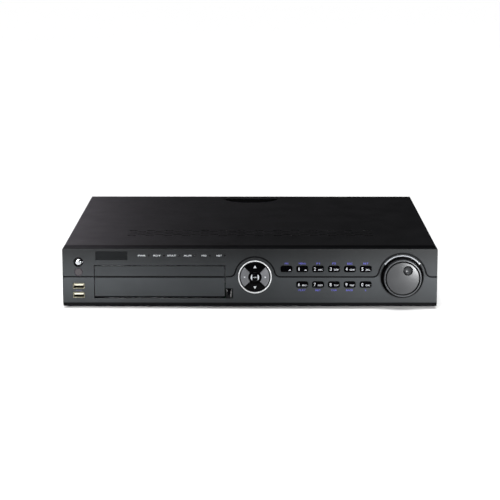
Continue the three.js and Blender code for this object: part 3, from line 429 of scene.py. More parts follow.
def make(name, build, mats, body, replaces=(), angle=35, weight=True, inner=None):
    me = bpy.data.meshes.new(name)
    me.from_pydata(build.v, [], build.f)
    for p, k in zip(me.polygons, build.m):
        p.material_index = k
    bm = bmesh.new()
    bm.from_mesh(me)
    bmesh.ops.remove_doubles(bm, verts=bm.verts, dist=1e-6)
    bmesh.ops.dissolve_degenerate(bm, dist=1e-7, edges=bm.edges)
    bmesh.ops.recalc_face_normals(bm, faces=bm.faces)
    bm.to_mesh(me)
    bm.free()
    if inner is not None:
        for p in me.polygons:
            c = sum((me.vertices[i].co.y for i in p.vertices), 0.0) / len(p.vertices)
            if c > P(0, inner, 0)[1]:
                p.material_index = 1
    me.shade_smooth()
    me.set_sharp_from_angle(angle=rad(angle))
    ob = bpy.data.objects.new(name, me)
    bpy.context.scene.collection.objects.link(ob)
    for m in mats if isinstance(mats, (list, tuple)) else [mats]:
        me.materials.append(M[m] if isinstance(m, str) else m)
    if weight:
        w = ob.modifiers.new("weighted", "WEIGHTED_NORMAL")
        w.keep_sharp = True
        w.weight = 80
    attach(ob, body)
    if replaces:
        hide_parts(*replaces)
    return ob


def mp_front(x, z, d):
    return P(x, d, z)


def mp_top(x, y, d):
    """Seen from above: depth counts downwards from the cover's top."""
    return P(x, y, d)


def mp_side(y, z, d):
    return P(d, y, z)


# ------------------------------------------------------------------ lettering: digits and short generic legends
def text_build(b, body, cx, cz, h, y, width=None, depth=0.05, mp=mp_front, m=0):
    cu = bpy.data.curves.new("legend", "FONT")
    cu.body = body
    cu.size = 1.0
    cu.resolution_u = 3
    cu.offset = 0.012
    ob = bpy.data.objects.new("legend", cu)
    bpy.context.scene.collection.objects.link(ob)
    bpy.context.view_layer.update()
    me = bpy.data.meshes.new_from_object(ob.evaluated_get(bpy.context.evaluated_depsgraph_get()))
    bpy.data.objects.remove(ob)
    bpy.data.curves.remove(cu)
    xs = [v.co.x for v in me.vertices]
    ys = [v.co.y for v in me.vertices]
    w0, h0 = max(xs) - min(xs), 0.70
    s = h / h0
    sx = s if width is None else width / w0
    mx, my = (max(xs) + min(xs)) / 2, 0.35
    front = b.ring([mp(cx + (v.co.x - mx) * sx, cz + (v.co.y - my) * s, y) for v in me.vertices])
    back = b.ring([mp(cx + (v.co.x - mx) * sx, cz + (v.co.y - my) * s, y + depth) for v in me.vertices])
    edges = {}
    for p in me.polygons:
        b.f.append(tuple(front[i] for i in p.vertices))
        b.m.append(m)
        b.f.append(tuple(back[i] for i in reversed(p.vertices)))
        b.m.append(m)
        for k in p.edge_keys:
            edges[k] = edges.get(k, 0) + 1
    for (i, j), c in edges.items():
        if c == 1:
            b.f.append((front[i], front[j], back[j], back[i]))
            b.m.append(m)
    bpy.data.meshes.remove(me)


# ------------------------------------------------------------------ styling groove
def groove_line():
    line = [(-W2, GROOVE_Z, 0, 1)]

    def hump(cx, r, f, n):
        c = math.sqrt(r * r + 2 * r * f)
        a = math.asin(f / (r + f))
        k = 9
        for i in range(0, k + 1):
            t = -math.pi / 2 + (math.pi / 2 - a) * i / k
            line.append((cx - c + f * math.cos(t), GROOVE_Z + f + f * math.sin(t), -math.cos(t), -math.sin(t)))
        for i in range(1, n):
            t = math.pi - a - (math.pi - 2 * a) * i / n
            line.append((cx + r * math.cos(t), GROOVE_Z + r * math.sin(t), math.cos(t), math.sin(t)))
        for i in range(k, -1, -1):
            t = -math.pi / 2 + (math.pi / 2 - a) * i / k
            line.append((cx + c - f * math.cos(t), GROOVE_Z + f + f * math.sin(t), math.cos(t), -math.sin(t)))

    hump(NAV[0], 24.1, 7.2, 56)
    hump(JOG[0], 28.4, 7.5, 64)
    line.append((W2, GROOVE_Z, 0, 1))
    return line


GL = groove_line()
G_UP = [(x + nx * GH, z + nz * GH) for x, z, nx, nz in GL]
G_LO = [(x - nx * GH, z - nz * GH) for x, z, nx, nz in GL]


def chamfer_z(y):
    return 8.3 - y * 5.3 / 4 if y < 4 else 3.0


# ------------------------------------------------------------------ front bezel
NOTCH_L, NOTCH_R, NOTCH_T, NOTCH_B = -185.05, -29.05, 53.05, 13.05
upper = [(G_UP[0][0], G_UP[0][1], 0.5), (NOTCH_L, G_UP[0][1], 0.5), (NOTCH_L, NOTCH_T, 0.7), (NOTCH_R, NOTCH_T, 0.7), (NOTCH_R, G_UP[0][1], 0.5)]
upper += [(x, z, 0) for x, z in G_UP[1:-1]] + [(W2, G_UP[-1][1], 0.5), (W2, TOP, 1.2), (-W2, TOP, 1.2)]
lower = [(-W2, 8.3, 0), (W2, 8.3, 0), (W2, G_LO[-1][1], 0.5)] + [(x, z, 0) for x, z in reversed(G_LO[1:-1])]
lower += [(NOTCH_R, G_LO[0][1], 0.5), (NOTCH_R, EJ[3] + 0.45, 0.4), (EJ[1] + 0.45, EJ[3] + 0.45, 0.9), (EJ[1] + 0.45, NOTCH_B, 0.9),
          (NOTCH_L, NOTCH_B, 0.7), (NOTCH_L, G_LO[0][1], 0.5), (-W2, G_LO[0][1], 0.5)]
FACE_T = 1.2


def mp_face(x, z, d):
    """The lower edge of the face runs into the sloping underside."""
    if z < 8.9:
        z = z - (8.3 - chamfer_z(max(d, 0.0)))
    return P(x, d, z)


up_holes = [circ(LEFT_X, POWER_Z, 5.8, 64), circ(LEFT_X, IR_Z, 4.85, 56), rrect(-164.15, 64.6, 37.7, 10.3, 0.5)]
up_holes += [circ(x, z, 1.15, 24) for x, z in LEDS]
up_holes += [rrect(x, z, KW + 0.7, KH + 0.7, KR + 0.3) for n, x, z in KEYS if z > GROOVE_Z]
lo_holes = [rrect(LEFT_X, z, 14.2, 6.9, 0.6) for z in USB_Z]
lo_holes += [circ(*NAV, 19.6, 120), circ(*JOG, 25.6, 140)]
lo_holes += [rrect(x, z, KW + 0.7, KH + 0.7, KR + 0.3) for n, x, z in KEYS if z < GROOVE_Z]

b = Build()
# the upper face's outer and hole walls take the near-black hollow colour: painted shade
b.plate(rounded(upper), up_holes, mp_front, 0.0, FACE_T, lip=0.4, hlip=0.12, mwall=1)
bezel_upper = make("bezel_upper_face", b, ["bezel", "groove"], "chassis", replaces=("front_bezel",))
b = Build()
b.plate(rounded(lower), lo_holes, mp_face, 0.0, FACE_T, lip=0.4, hlip=0.12, mwall=1)
# the lower face's outer and hole walls take the near-black edge colour: painted shade
make("bezel_lower_face", b, ["bezel", "chamfer"], "chassis")

# near-black floor of the groove and of the gaps round the keys: painted shade in these narrow hollows
b = Build()
gap_holes = [rect(NOTCH_L - 0.4, NOTCH_R + 0.3, NOTCH_B - 0.3, NOTCH_T + 0.4, 0.5)]
gap_holes[0] = rounded([(NOTCH_L - 0.4, NOTCH_B - 0.3, 0.4), (EJ[1] + 0.75, NOTCH_B - 0.3, 0.4), (EJ[1] + 0.75, EJ[3] + 0.75, 0.4), (NOTCH_R + 0.4, EJ[3] + 0.75, 0.2),
                        (NOTCH_R + 0.4, NOTCH_T + 0.4, 0.4), (NOTCH_L - 0.4, NOTCH_T + 0.4, 0.4)])
gap_holes += [circ(LEFT_X, POWER_Z, 5.9, 40), circ(LEFT_X, IR_Z, 4.9, 40)] + [rrect(LEFT_X, z, 14.4, 7.1, 0.4) for z in USB_Z]
gap_holes += [circ(*NAV, 19.7, 64), circ(*JOG, 25.7, 64)] + [rrect(x, z, KW + 0.9, KH + 0.9, KR) for n, x, z in KEYS]
b.plate(rect(-W2 + 0.35, W2 - 0.35, 9.0, 72.0, 1.0), gap_holes, mp_front, FACE_T, 3.0, lip=0)
make("bezel_groove_floor", b, "groove", "chassis")

# the bezel's top, side and lower walls, from the face to its back edge, in the near-black edge colour as painted shade
b = Build()


def wall_outline(y, inset=0.0):
    zb = chamfer_z(y) + inset
    if inset:
        zb = 5.4
    t = TOP - inset
    return rounded([(-W2 + inset, zb, 0), (W2 - inset, zb, 0), (W2 - inset, t, 1.2 if not inset else 0.6), (-W2 + inset, t, 1.2 if not inset else 0.6)])


rows = [b.ring([P(x, y, z) for x, z in wall_outline(y)]) for y in (FACE_T, 2.5, 4.0, 6.0, 15.0, 23.4)]
for a, c in zip(rows, rows[1:]):
    b.strip(a, c, 0)
edge = b.ring([P(x * (W2 - 0.3) / W2, 23.85, z - 0.25 if z > 60 else z + 0.25) for x, z in wall_outline(23.85)])
b.strip(rows[-1], edge, 0)
back = b.ring([P(x, 24.0, z) for x, z in wall_outline(24, 0.8)])
b.strip(edge, back, 0)
inner = [b.ring([P(x, y, z) for x, z in wall_outline(y, 2.4)]) for y in (24.0, FACE_T)]
b.strip(back, inner[0], 0)
b.strip(inner[0], inner[1], 0)
b.strip(inner[1], rows[0], 0)
make("bezel_walls", b, "chamfer", "chassis")

# ------------------------------------------------------------------ drive flap
HY, HZ, HR = 2.2, 16.2, 2.2
prof = [(0.0, FLAP[3], 0.42), (0.0, GROOVE_Z + GH, 0.35), (1.0, GROOVE_Z + GH, 0), (1.0, GROOVE_Z - GH, 0), (0.0, GROOVE_Z - GH, 0.35), (0.0, HZ + 0.01, 0)]
prof = rounded(prof + [(2.4, HZ + 2.0, 0), (2.4, FLAP[3], 0.3)])
k = min(range(len(prof)), key=lambda i: abs(prof[i][0] - 0.0) + abs(prof[i][1] - (HZ + 0.01)))
arc_pts = [(HY - HR * math.cos(rad(a)), HZ - HR * math.sin(rad(a))) for a in range(0, 181, 10)]
prof = prof[:k + 1] + arc_pts + [(4.35, HZ + 0.6), (3.6, HZ + 1.5), (2.6, HZ + 1.9)] + [p for p in prof[k + 1:] if p[1] > HZ + 2.2 or p[0] > 2.39]
b = Build()
b.plate(prof, [], lambda y, z, d: P(d, y, z), FLAP[0], FLAP[1], lip=0.3, back=0.3, seg=3)
# faces set back more than 0.04 mm from the flap's front take the near-black edge colour: painted shadow along the flap
# gap
flap = make("drive_flap_panel", b, ["bezel", "chamfer"], "drive_flap_body", replaces=("drive_flap",), inner=0.04)
b = Build()
# the flap's groove floor in the near-black hollow colour: painted shade
b.plate(rect(FLAP[0] + 0.1, FLAP[1] - 0.1, GROOVE_Z - GH + 0.02, GROOVE_Z + GH - 0.02), [], mp_front, 0.92, 1.3, lip=0)
make("drive_flap_groove_strip", b, "groove", "drive_flap_body")

# ------------------------------------------------------------------ eject button
ex, ez = (EJ[0] + EJ[1]) / 2, (EJ[2] + EJ[3]) / 2
ew, eh = EJ[1] - EJ[0], EJ[3] - EJ[2]


def eject_v(z):
    return max(0.0, min(1.0, (z - EJ[2]) / eh))


b = Build()
b.dome(rrect(ex, ez, ew, eh, 1.2), mp_front,
       lambda x, z: -1.45 + 1.0 * min(1, abs(x - ex) / (ew / 2)) ** 2 + 1.4 * eject_v(z) + 0.7 * eject_v(z) ** 2, 6.0, lip=0.35, rings=12)
make("eject_button_cap", b, "eject", "eject_button_body", replaces=("eject_button",))

# ------------------------------------------------------------------ left column
b = Build()
b.lathe(LEFT_X, POWER_Z, soft_profile([(4.3, 3.2, 0), (4.3, 0.5, 0.2), (4.9, 0.75, 0.1), (5.3, 0.55, 0.1), (5.74, 0.1, 0.1), (5.74, 3.2, 0)]), 72)
make("power_surround", b, "gloss", "chassis")
b = Build()
b.lathe(LEFT_X, POWER_Z, [(0, -1.1), (0.8, -1.07), (1.6, -0.98), (2.3, -0.8), (2.9, -0.52), (3.4, -0.12), (3.8, 0.32), (4.05, 0.85), (4.05, 5.0), (0, 5.0)], 72)
make("power_cap", b, "silver", "power_button_body", replaces=("power_button",))
b = Build()
b.plate(band(LEFT_X, POWER_Z, 1.25, 1.62, 125, 415, 30), [], mp_front, -1.16, -0.86, lip=0)
b.plate(rect(LEFT_X - 0.19, LEFT_X + 0.19, POWER_Z + 0.5, POWER_Z + 2.0), [], mp_front, -1.14, -0.8, lip=0)
make("power_symbol", b, "dark_ink", "power_button_body")
b = Build()
# a small white dot on the right of the power surround
b.lathe(LEFT_X + 4.9, POWER_Z + 0.2, [(0, 0.35), (0.25, 0.38), (0.42, 0.6), (0.42, 1.2), (0, 1.2)], 20)
make("power_white_dot", b, "white_ink", "chassis")

b = Build()
b.lathe(LEFT_X, IR_Z, soft_profile([(4.1, 0.5, 0), (4.1, -0.05, 0.1), (4.72, -0.1, 0.2), (4.72, 2.2, 0), (4.1, 2.2, 0)]), 64)
make("receiver_rim", b, "smoke_rim", "chassis", replaces=("ir_window",))
b = Build()
b.lathe(LEFT_X, IR_Z, [(0, -0.02), (1.5, 0.0), (3.0, 0.06), (4.12, 0.16), (4.12, 2.0), (0, 2.0)], 64)
make("receiver_lens", b, "smoke", "chassis")

for k, (node, z) in enumerate((("usb_port_upper", USB_Z[0]), ("usb_port_lower", USB_Z[1]))):
    b = Build()
    # the shell's inside walls take the darker copy: painted shade
    b.plate(rrect(LEFT_X, z, 13.4, 6.1, 0.5), [rrect(LEFT_X, z, 12.6, 5.3, 0.35)], mp_front, 0.15, 13.6, lip=0.12, hlip=0.12, mwall=2)
    b.plate(rrect(LEFT_X, z, 12.7, 5.4, 0.3), [], mp_front, 13.0, 13.8, lip=0, m=1)
    make(f"{node}_shell", b, ["shell", "black", "shell_painted_shade"], "chassis", replaces=(node,))
    b = Build()
    b.plate(rrect(LEFT_X, z + 1.15, 11.0, 1.5, 0.25), [], mp_front, 0.9, 13.2, lip=0.2, m=0)
    for i in range(4):
        xx = LEFT_X - 3.5 + i * 2.33
        b.plate(rrect(xx, z + 0.34, 1.15, 0.22, 0.05), [], mp_front, 2.3, 11.0, lip=0.04, m=1)
    make(f"{node}_tongue", b, ["cream", "gold"], "chassis")

b = Build()
b.plate(rrect(-164.15, 64.6, 37.3, 9.9, 0.4), [], mp_front, 0.15, 0.95, lip=0.15)
make("name_plate_blank", b, "plate", "chassis", replaces=("name_plate",))
b = Build()
for x, z in LEDS:
    b.lathe(x, z, [(0, 0.02), (0.5, 0.06), (0.85, 0.2), (0.98, 0.45), (0.98, 3.0), (0, 3.0)], 28)
make("status_lights", b, "led", "chassis", replaces=("indicator_light_guide",))

# ------------------------------------------------------------------ direction pad
b = Build()
b.lathe(*NAV, soft_profile([(18.6, 2.6, 0), (18.6, -0.7, 0.25), (19.15, -1.0, 0.35), (19.65, -0.85, 0.35), (20.0, -0.1, 0.1), (19.4, -0.05, 0), (19.4, 2.6, 0)]), 160)
make("nav_trim_ring", b, "chrome", "chassis", replaces=("nav_ring",))
b = Build()
b.lathe(*NAV, [(0, 1.2), (18.25, 1.2), (18.25, 2.8), (0, 2.8)], 96)
# the floor under the pad in the near-black hollow colour: painted shade
make("nav_floor", b, "groove", "chassis", replaces=("nav_base",))


def nav_surf(x, z):
    r = math.hypot(x - NAV[0], z - NAV[1])
    t = min(max((r - 8.2) / 8.5, 0), 1)
    return -2.35 + 1.65 * t


def sector_outline(a, r0, r1, gap, rc=0.7, n=22):
    """A quarter ring with parallel gaps to its neighbours and rounded corners."""
    g0, g1 = math.asin(gap / r0), math.asin(gap / r1)
    q = math.pi / 4
    outer = [(r1 * math.cos(a + t), r1 * math.sin(a + t)) for t in [(-q + g1) + (2 * q - 2 * g1) * i / n for i in range(n + 1)]]
    inner = [(r0 * math.cos(a + t), r0 * math.sin(a + t)) for t in [(q - g0) - (2 * q - 2 * g0) * i / n for i in range(n + 1)]]
    pts = [(x, z, 0) for x, z in outer] + [(x, z, 0) for x, z in inner]
    for i in (0, n, n + 1, 2 * n + 1):
        pts[i] = pts[i][:2] + (rc if i <= n else 0.4,)
    # leave room for the corner arcs
    keep = [p for i, p in enumerate(pts) if i not in (1, n - 1, n + 2, 2 * n)]
    return [(NAV[0] + x, NAV[1] + z) for x, z in rounded(keep, 4)]


# the left and right wedges take the lighter copy of the gloss: painted sheen
for node, ang, mat in (("nav_right", 0, "gloss_side"), ("nav_up", 90, "gloss"), ("nav_left", 180, "gloss_side"), ("nav_down", 270, "gloss")):
    a = rad(ang)
    b = Build()
    c = (NAV[0] + 11.95 * math.cos(a), NAV[1] + 11.95 * math.sin(a))
    b.dome(sector_outline(a, 8.05, 17.2, 0.5), mp_front, nav_surf, 4.6, lip=0.35, rings=8, centre=c)
    make(f"{node}_cap", b, mat, f"{node}_body", replaces=(node,))
    # a direction triangle
    b = Build()
    d, q = Vector((math.cos(a), math.sin(a))), Vector((-math.sin(a), math.cos(a)))
    k = 1.0 if ang in (90, 270) else 0.62
    o = Vector(NAV) + d * 12.4
    tri = [o + d * 1.9 * k, o - d * 1.35 * k + q * 1.75 * k, o - d * 1.35 * k - q * 1.75 * k]
    b.plate([tuple(p) for p in tri], [], lambda x, z, dd: P(x, nav_surf(x, z) - 0.03 + dd, z), 0.0, 0.5, lip=0)
    make(f"{node}_mark", b, "grey_ink", f"{node}_body")

b = Build()
b.lathe(*NAV, [(0, -3.4), (1.2, -3.36), (2.4, -3.22), (3.5, -3.0), (4.5, -2.68), (5.4, -2.25), (6.1, -1.75), (6.55, -1.25), (6.8, -0.6), (6.85, 0.2), (6.85, 4.6), (0, 4.6)], 96)
make("enter_cap", b, "gloss", "enter_button_body", replaces=("enter_button",))
b = Build()


def enter_surf(x, z):
    r = math.hypot(x - NAV[0], z - NAV[1])
    return -3.4 + 0.031 * r * r + 0.0002 * r ** 4


for s in (-1, 1):
    pts = [(NAV[0] + s * 1.9, NAV[1]), (NAV[0] + s * 0.75, NAV[1] + 0.85), (NAV[0] + s * 0.75, NAV[1] - 0.85)]
    b.plate(pts, [], lambda x, z, dd: P(x, enter_surf(x, z) - 0.04 + dd, z), 0, 0.4, lip=0)
b.plate(rect(NAV[0] - 0.5, NAV[0] + 0.5, NAV[1] - 0.22, NAV[1] + 0.22), [], lambda x, z, dd: P(x, enter_surf(x, z) - 0.04 + dd, z), 0, 0.4, lip=0)
# two light crescents left and right of the arrows: painted highlights standing for reflections of the side lamps
for s in (0, 180):
    n = 22
    arc = [(-46 + 92 * i / n) for i in range(n + 1)]
    out = [(NAV[0] + 5.0 * math.cos(rad(s + t)), NAV[1] + 5.0 * math.sin(rad(s + t))) for t in arc]
    inn = [(NAV[0] + (5.0 - 1.9 * math.cos(rad(t * 90 / 48)) ** 0.8) * math.cos(rad(s + t)), NAV[1] + (5.0 - 1.9 * math.cos(rad(t * 90 / 48)) ** 0.8) * math.sin(rad(s + t))) for t in reversed(arc)]
    b.plate(out + inn, [], lambda x, z, dd: P(x, enter_surf(x, z) - 0.04 + dd, z), 0, 0.4, lip=0)
make("enter_print_and_painted_highlights", b, "grey_ink", "enter_button_body")

# ------------------------------------------------------------------ number keys
LETTERS = {"key_1": "", "key_2": "ABC", "key_3": "DEF", "key_4": "GHI", "key_5": "JKL", "key_6": "MNO", "key_7": "PRS", "key_8": "TUV", "key_9": "WXY", "key_0": "OK"}
for node, kx, kz in KEYS:
    def key_surf(x, z, kx=kx, kz=kz):
        u, w = min(abs(x - kx) / (KW / 2), 1), max(0.0, min(1.0, (z - kz) / KH + 0.5))
        return -0.98 + 0.165 * KH * w + 0.12 * u ** 2
    b = Build()
    # the left end is squarer than the right
    o = rounded([(kx - KW / 2, kz - KH / 2, 1.5), (kx + KW / 2, kz - KH / 2, 2.9), (kx + KW / 2, kz + KH / 2, 2.9), (kx - KW / 2, kz + KH / 2, 1.5)], 7)
    b.dome(o, mp_front, key_surf, 4.4, lip=0.45, rings=9)
    make(f"{node}_cap", b, "gloss", f"{node}_body", replaces=(node,))
    digit = node[4:]
    if node in ("key_shift", "key_1"):
        # a small light triangle in the lower right corner: painted highlight standing for the glare there
        b = Build()
        b.plate([(kx + 2.2, kz - 2.0), (kx + 5.2, kz - 2.0), (kx + 4.3, kz - 0.3)], [], lambda x, z, dd, f=key_surf: P(x, f(x, z) - 0.035 + dd, z), 0.0, 0.3, lip=0)
        make(f"{node}_painted_glare", b, "print_dim", f"{node}_body")
    if digit.isdigit():
        b = Build()
        mp_key = lambda x, z, dd: P(x, key_surf(x, z) - 0.035 + dd, z)
        text_build(b, digit, kx - 3.9, kz - 0.05, 3.7, 0.0, width=2.2 if digit != "1" else 1.15, depth=0.3, mp=mp_key)
        if LETTERS[node]:
            # the light grey letters sit in the lower right corner: real print that also stands in for the glare there,
            # partly painted highlight
            text_build(b, LETTERS[node], kx + 2.6, kz - 0.9, 1.9, 0.0, width=5.4, depth=0.3, mp=mp_key)
        make(f"{node}_print", b, "print_dim", f"{node}_body")

# printed legends on the face
b = Build()
for (node, kx, kz), word in zip(KEYS, ("FN", "MENU", "F1", "F2", "ESC", "SET", "PLAY", "REC", "CAM", "BACK", "A")):
    w = {1: 1.6, 2: 4.0, 3: 6.2, 4: 8.4}[len(word)]
    text_build(b, word, kx, 55.45 if kz > GROOVE_Z else 23.1, 2.0, -0.03, width=w, depth=0.06)
make("key_legends", b, "blue_ink", "chassis")
b = Build()
for (x, z), word, w in zip(LEDS, ("PWR", "RDY", "STAT", "ALM", "HDD", "NET"), (9.0, 9.0, 10.4, 9.2, 6.0, 6.4)):
    text_build(b, word, x - 3.6 - w / 2, z, 1.9, -0.03, width=w, depth=0.06)
make("status_legends", b, "grey_ink", "chassis")
b = Build()
for dx in (-2.6, 2.6):
    b.plate(rrect(LEFT_X + dx, 22.6, 1.3, 1.3, 0.3), [], mp_front, -0.03, 0.03, lip=0)
b.plate(rrect(LEFT_X, 22.6, 4.4, 0.5, 0.2), [], mp_front, -0.025, 0.03, lip=0)
make("port_mark", b, "mark_ink", "chassis")

# ------------------------------------------------------------------ jog and shuttle
b = Build()
# the recess round the dial in the near-black well colour: painted shade
b.lathe(*JOG, soft_profile([(7.8, 7.4, 0), (7.8, 6.0, 0.3), (23.4, 6.0, 0.8), (24.3, 5.2, 0.3), (24.3, 0.5, 0.2), (24.75, 0.1, 0.2), (25.5, 0.06, 0.1), (25.5, 7.4, 0)]), 160)
make("jog_well_dish", b, "well", "chassis", replaces=("jog_well",))
b = Build()
b.plate(band(*JOG, 24.85, 26.1, 38, 142, 90), [], mp_front, -0.18, 0.3, lip=0.14, seg=3)
for t in (38, 142):
    b.plate(band(*JOG, 24.7, 26.5, t - 1.6, t + 1.6, 4), [], mp_front, -0.22, 0.3, lip=0.1, seg=2)
make("shuttle_scale", b, "arc", "chassis")
b = Build()
# only the ring's front rim takes the satin; its sides take the near-black copy as painted shade
b.lathe(*JOG, soft_profile([(7, 8.8, 0), (7, 4.6, 0), (22.8, 4.6, 0.3), (22.75, 3.4, 0.2), (22.5, -5.0, 0), (22.3, -9.0, 0.0), (21.9, -9.85, 0.4), (21.0, -10.0, 0.3), (20.5, -9.5, 0.2), (20.45, 3.2, 0), (4, 3.2, 0), (4, 8.8, 0)]), 180,
        pick=lambda r, y: 0 if y < -8.8 and r > 20.55 else 1)
make("shuttle_ring_turned", b, ["ring", "ring_side_painted_shade"], "shuttle_ring_body", replaces=("shuttle_ring",))

# the dial: a slightly domed disc with an off-centre finger dish, one closed solid
DIM = (JOG[0] + 6.0, JOG[1] + 9.6)
DR = 19.6


def dial_y(x, z):
    r = math.hypot(x - JOG[0], z - JOG[1]) / DR
    return -10.98 + 1.25 * r * r


b = Build()
ND = 160
AN = [2 * math.pi * i / ND for i in range(ND)]


def dial_ring(cx, cz, r, y):
    return b.ring([P(cx + r * math.cos(t), y if not callable(y) else y(cx + r * math.cos(t), cz + r * math.sin(t)), cz + r * math.sin(t)) for t in AN])


# the dial's side and rounded edge take the near-black copy: painted shade, and no highlight on the edge
rows = [(dial_ring(*JOG, 18.2, 2.0), 1), (dial_ring(*JOG, DR, 2.0), 1), (dial_ring(*JOG, DR, -9.35), 0)]
for t in (25, 50, 75, 90):
    q = rad(t)
    rows.append((dial_ring(*JOG, DR - 0.7 * (1 - math.cos(q)), lambda x, z, q=q: dial_y(x, z) + 0.7 * (1 - math.sin(q))), 1))
K = 12
for i in range(1, K + 1):
    f = i / K
    rows.append((dial_ring(JOG[0] + (DIM[0] - JOG[0]) * f, JOG[1] + (DIM[1] - JOG[1]) * f, (DR - 0.7) * (1 - f) + 5.75 * f, dial_y), 0))
# the dish's sloping wall in the near-black well colour: painted shade round the finger dish
for r, d in ((5.72, 0.14), (5.35, 0.7), (4.9, 1.2), (4.5, 1.7)):
    rows.append((dial_ring(*DIM, r, lambda x, z, d=d: dial_y(x, z) + d), 2))
for r, y in ((4.25, -8.9), (3.9, -8.5), (3.3, -8.1), (2.5, -7.75), (1.6, -7.52), (0.8, -7.43)):
    rows.append((dial_ring(*DIM, r, y), 3))
for (p0, _), (p1, k) in zip(rows, rows[1:]):
    b.strip(p0, p1, k)
tip = b.ring([P(DIM[0], -7.4, DIM[1])])[0]
b.fan(tip, rows[-1][0], 3)
b.fan(b.ring([P(JOG[0], 2.0, JOG[1])])[0], rows[0][0], 1)
dial = make("jog_dial_disc", b, ["dial", "ring_side_painted_shade", "well", "dish"], "jog_dial_body", replaces=("jog_dial",), angle=40)

# ------------------------------------------------------------------ top cover
CT, C0, C1 = 72.5, 25.4, 390.0
slots = []
for row in range(5):
    y = 90.3 + row * 8.27
    n, x0 = (13, -135.0) if row % 2 else (14, -146.25)
    slots += [rrect(x0 + i * 22.5, y, 10.4, 3.0, 0.9, 3) for i in range(n)]
hw, dd, y1 = 37.7, 33.5, 369.0
R = (hw * hw + dd * dd) / (2 * dd)
aa = math.asin(min(1.0, hw / R))
scoop = [(-hw, y1), (-hw * 0.5, y1), (0, y1), (hw * 0.5, y1)] + [(R * math.sin(aa - 2 * aa * i / 48), y1 - dd + R - R * math.cos(aa - 2 * aa * i / 48)) for i in range(48)]
b = Build()
# the walls of the slots, the scoop opening and the sheet's edges take the darker slot colour: painted shade
b.plate(rounded([(-W2, C0, 0.8), (W2, C0, 0.8), (W2, C1, 1.2), (-W2, C1, 1.2)]), slots + [scoop], mp_top, CT, CT - 1.0, lip=0.95, hlip=0.05, seg=4, mwall=1)
make("cover_top_sheet", b, ["cover", "slot"], "chassis", replaces=("top_cover",))
# the scoop's floor and back wall in the darker recess colour: painted shade
b = Build()
grow = [(x * 1.02, y1 + 0.8 if y > y1 - 0.01 else y - 0.6) for x, y in scoop]
fl = b.ring([P(x, y, CT - 0.25 - 3.4 * max(0, (y - 335.2)) / 33.8) for x, y in grow])
bk = b.ring([P(x, y, CT - 1.6 - 3.4 * max(0, (y - 335.2)) / 33.8) for x, y in grow])
b.strip(fl, bk)
b.cap([grow], [fl])
b.cap([grow], [bk])
wall = [(-hw - 1, y1 + 0.15), (hw + 1, y1 + 0.15), (hw + 1, y1 + 1.0), (-hw - 1, y1 + 1.0)]
b.plate(wall, [], mp_top, CT - 0.9, CT - 4.9, lip=0)
make("cover_finger_recess", b, "recess", "chassis")
EARS = [(40, 18), (40, 58), (76, 18), (76, 58)]
for s, side in ((-1, "left"), (1, "right")):
    b = Build()
    hl = [circ(y, z, 2.2, 24) for y, z in EARS] + [rrect(261.5 + i * 10, 40, 3, 28, 1.3, 4) for i in range(9)]
    b.plate(rect(C0, C1 - 0.6, 6.0, CT - 1.0, 0.0), hl, mp_side, s * W2, s * (W2 - 1.0), lip=0, hlip=0.2)
    make(f"cover_side_{side}", b, "cover", "chassis")
b = Build()
b.plate(rect(-W2 + 0.6, W2 - 0.6, 63.0, CT - 1.0, 0.0), [circ(x, 67.5, 1.8, 20) for x in (-150, 150)], lambda x, z, d: P(x, d, z), C1, C1 - 1.0, lip=0, hlip=0.15)
make("cover_back_flange", b, "cover", "chassis")

# feet
for node in ("foot_front_left", "foot_front_right", "foot_rear_left", "foot_rear_right"):
    lo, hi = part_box(node)
    cx, cy = (lo[0] + hi[0]) / 2 / MM, ((lo[1] + hi[1]) / 2 - YF) / MM
    b = Build()
    b.lathe(cx, cy, soft_profile([(0, 0.0, 0), (11.2, 0.0, 0.3), (11.6, 0.35, 0.2), (12.3, 0.1, 0.3), (13.2, 1.2, 0.6), (13.9, 4.0, 0.3), (13.9, 4.4, 0), (0, 4.4, 0)]), 64, mp=lambda x, y, z: P(x, z, y))
    make(f"{node}_pad", b, "rubber", "chassis", replaces=(node,))

# ------------------------------------------------------------------ sockets and fittings on the back
def rear(x, z, d):
    """Seen from behind: depth counts forwards from the given face."""
    return P(x, d, z)


def rear_text(b, body, cx, cz, h, width, y=388.83):
    text_build(b, body, cx, cz, h, 0.0, width=width, depth=0.05, mp=lambda x, z, d: P(2 * cx - x, y - d, z))


BNC = [(x, z) for x in (190, 173, 156, 139) for z in (26, 46)]
RCA = [(x, z) for x in (114, 99) for z in (26, 42)]
b = Build()
b.plate(rect(131, 198, 16, 56, 1.0), [], rear, 387.4, 376.0, lip=0.4)
for x, z in BNC:
    b.lathe(x, z, soft_profile([(2.3, 386, 0), (4.8, 386, 0), (4.8, 388.85, 0), (6.4, 388.85, 0.2), (6.4, 390.3, 0.3), (4.9, 390.4, 0), (4.9, 391.6, 0.2), (4.62, 392.0, 0.1), (4.62, 399.3, 0.2), (4.4, 399.9, 0.2), (4.1, 399.7, 0.1), (4.1, 391, 0), (2.3, 391, 0)]), 48, m=0)
    b.lathe(x, z, soft_profile([(0.75, 396.2, 0), (1.9, 396.8, 0.2), (2.3, 396.6, 0.2), (2.3, 388, 0), (0.75, 388, 0)]), 40, m=1)
    b.lathe(x, z, [(0, 394.6), (0.3, 394.6), (0.35, 396.9), (0.62, 396.7), (0.62, 388), (0, 388)], 20, m=2)
    for s in (-1, 1):
        b.plate(circ(395.4, z, 0.85, 20), [], lambda y, zz, d, x=x: P(x + d, y, zz), s * 5.65, s * 4.3, lip=0.2, seg=2)
make("video_input_sockets", b, ["nickel", "white", "gold"], "chassis", replaces=("video_input_block",))
b = Build()
b.plate(rect(91, 122, 17.5, 50.5, 1.0), [], rear, 387.4, 377.0, lip=0.4, m=3)
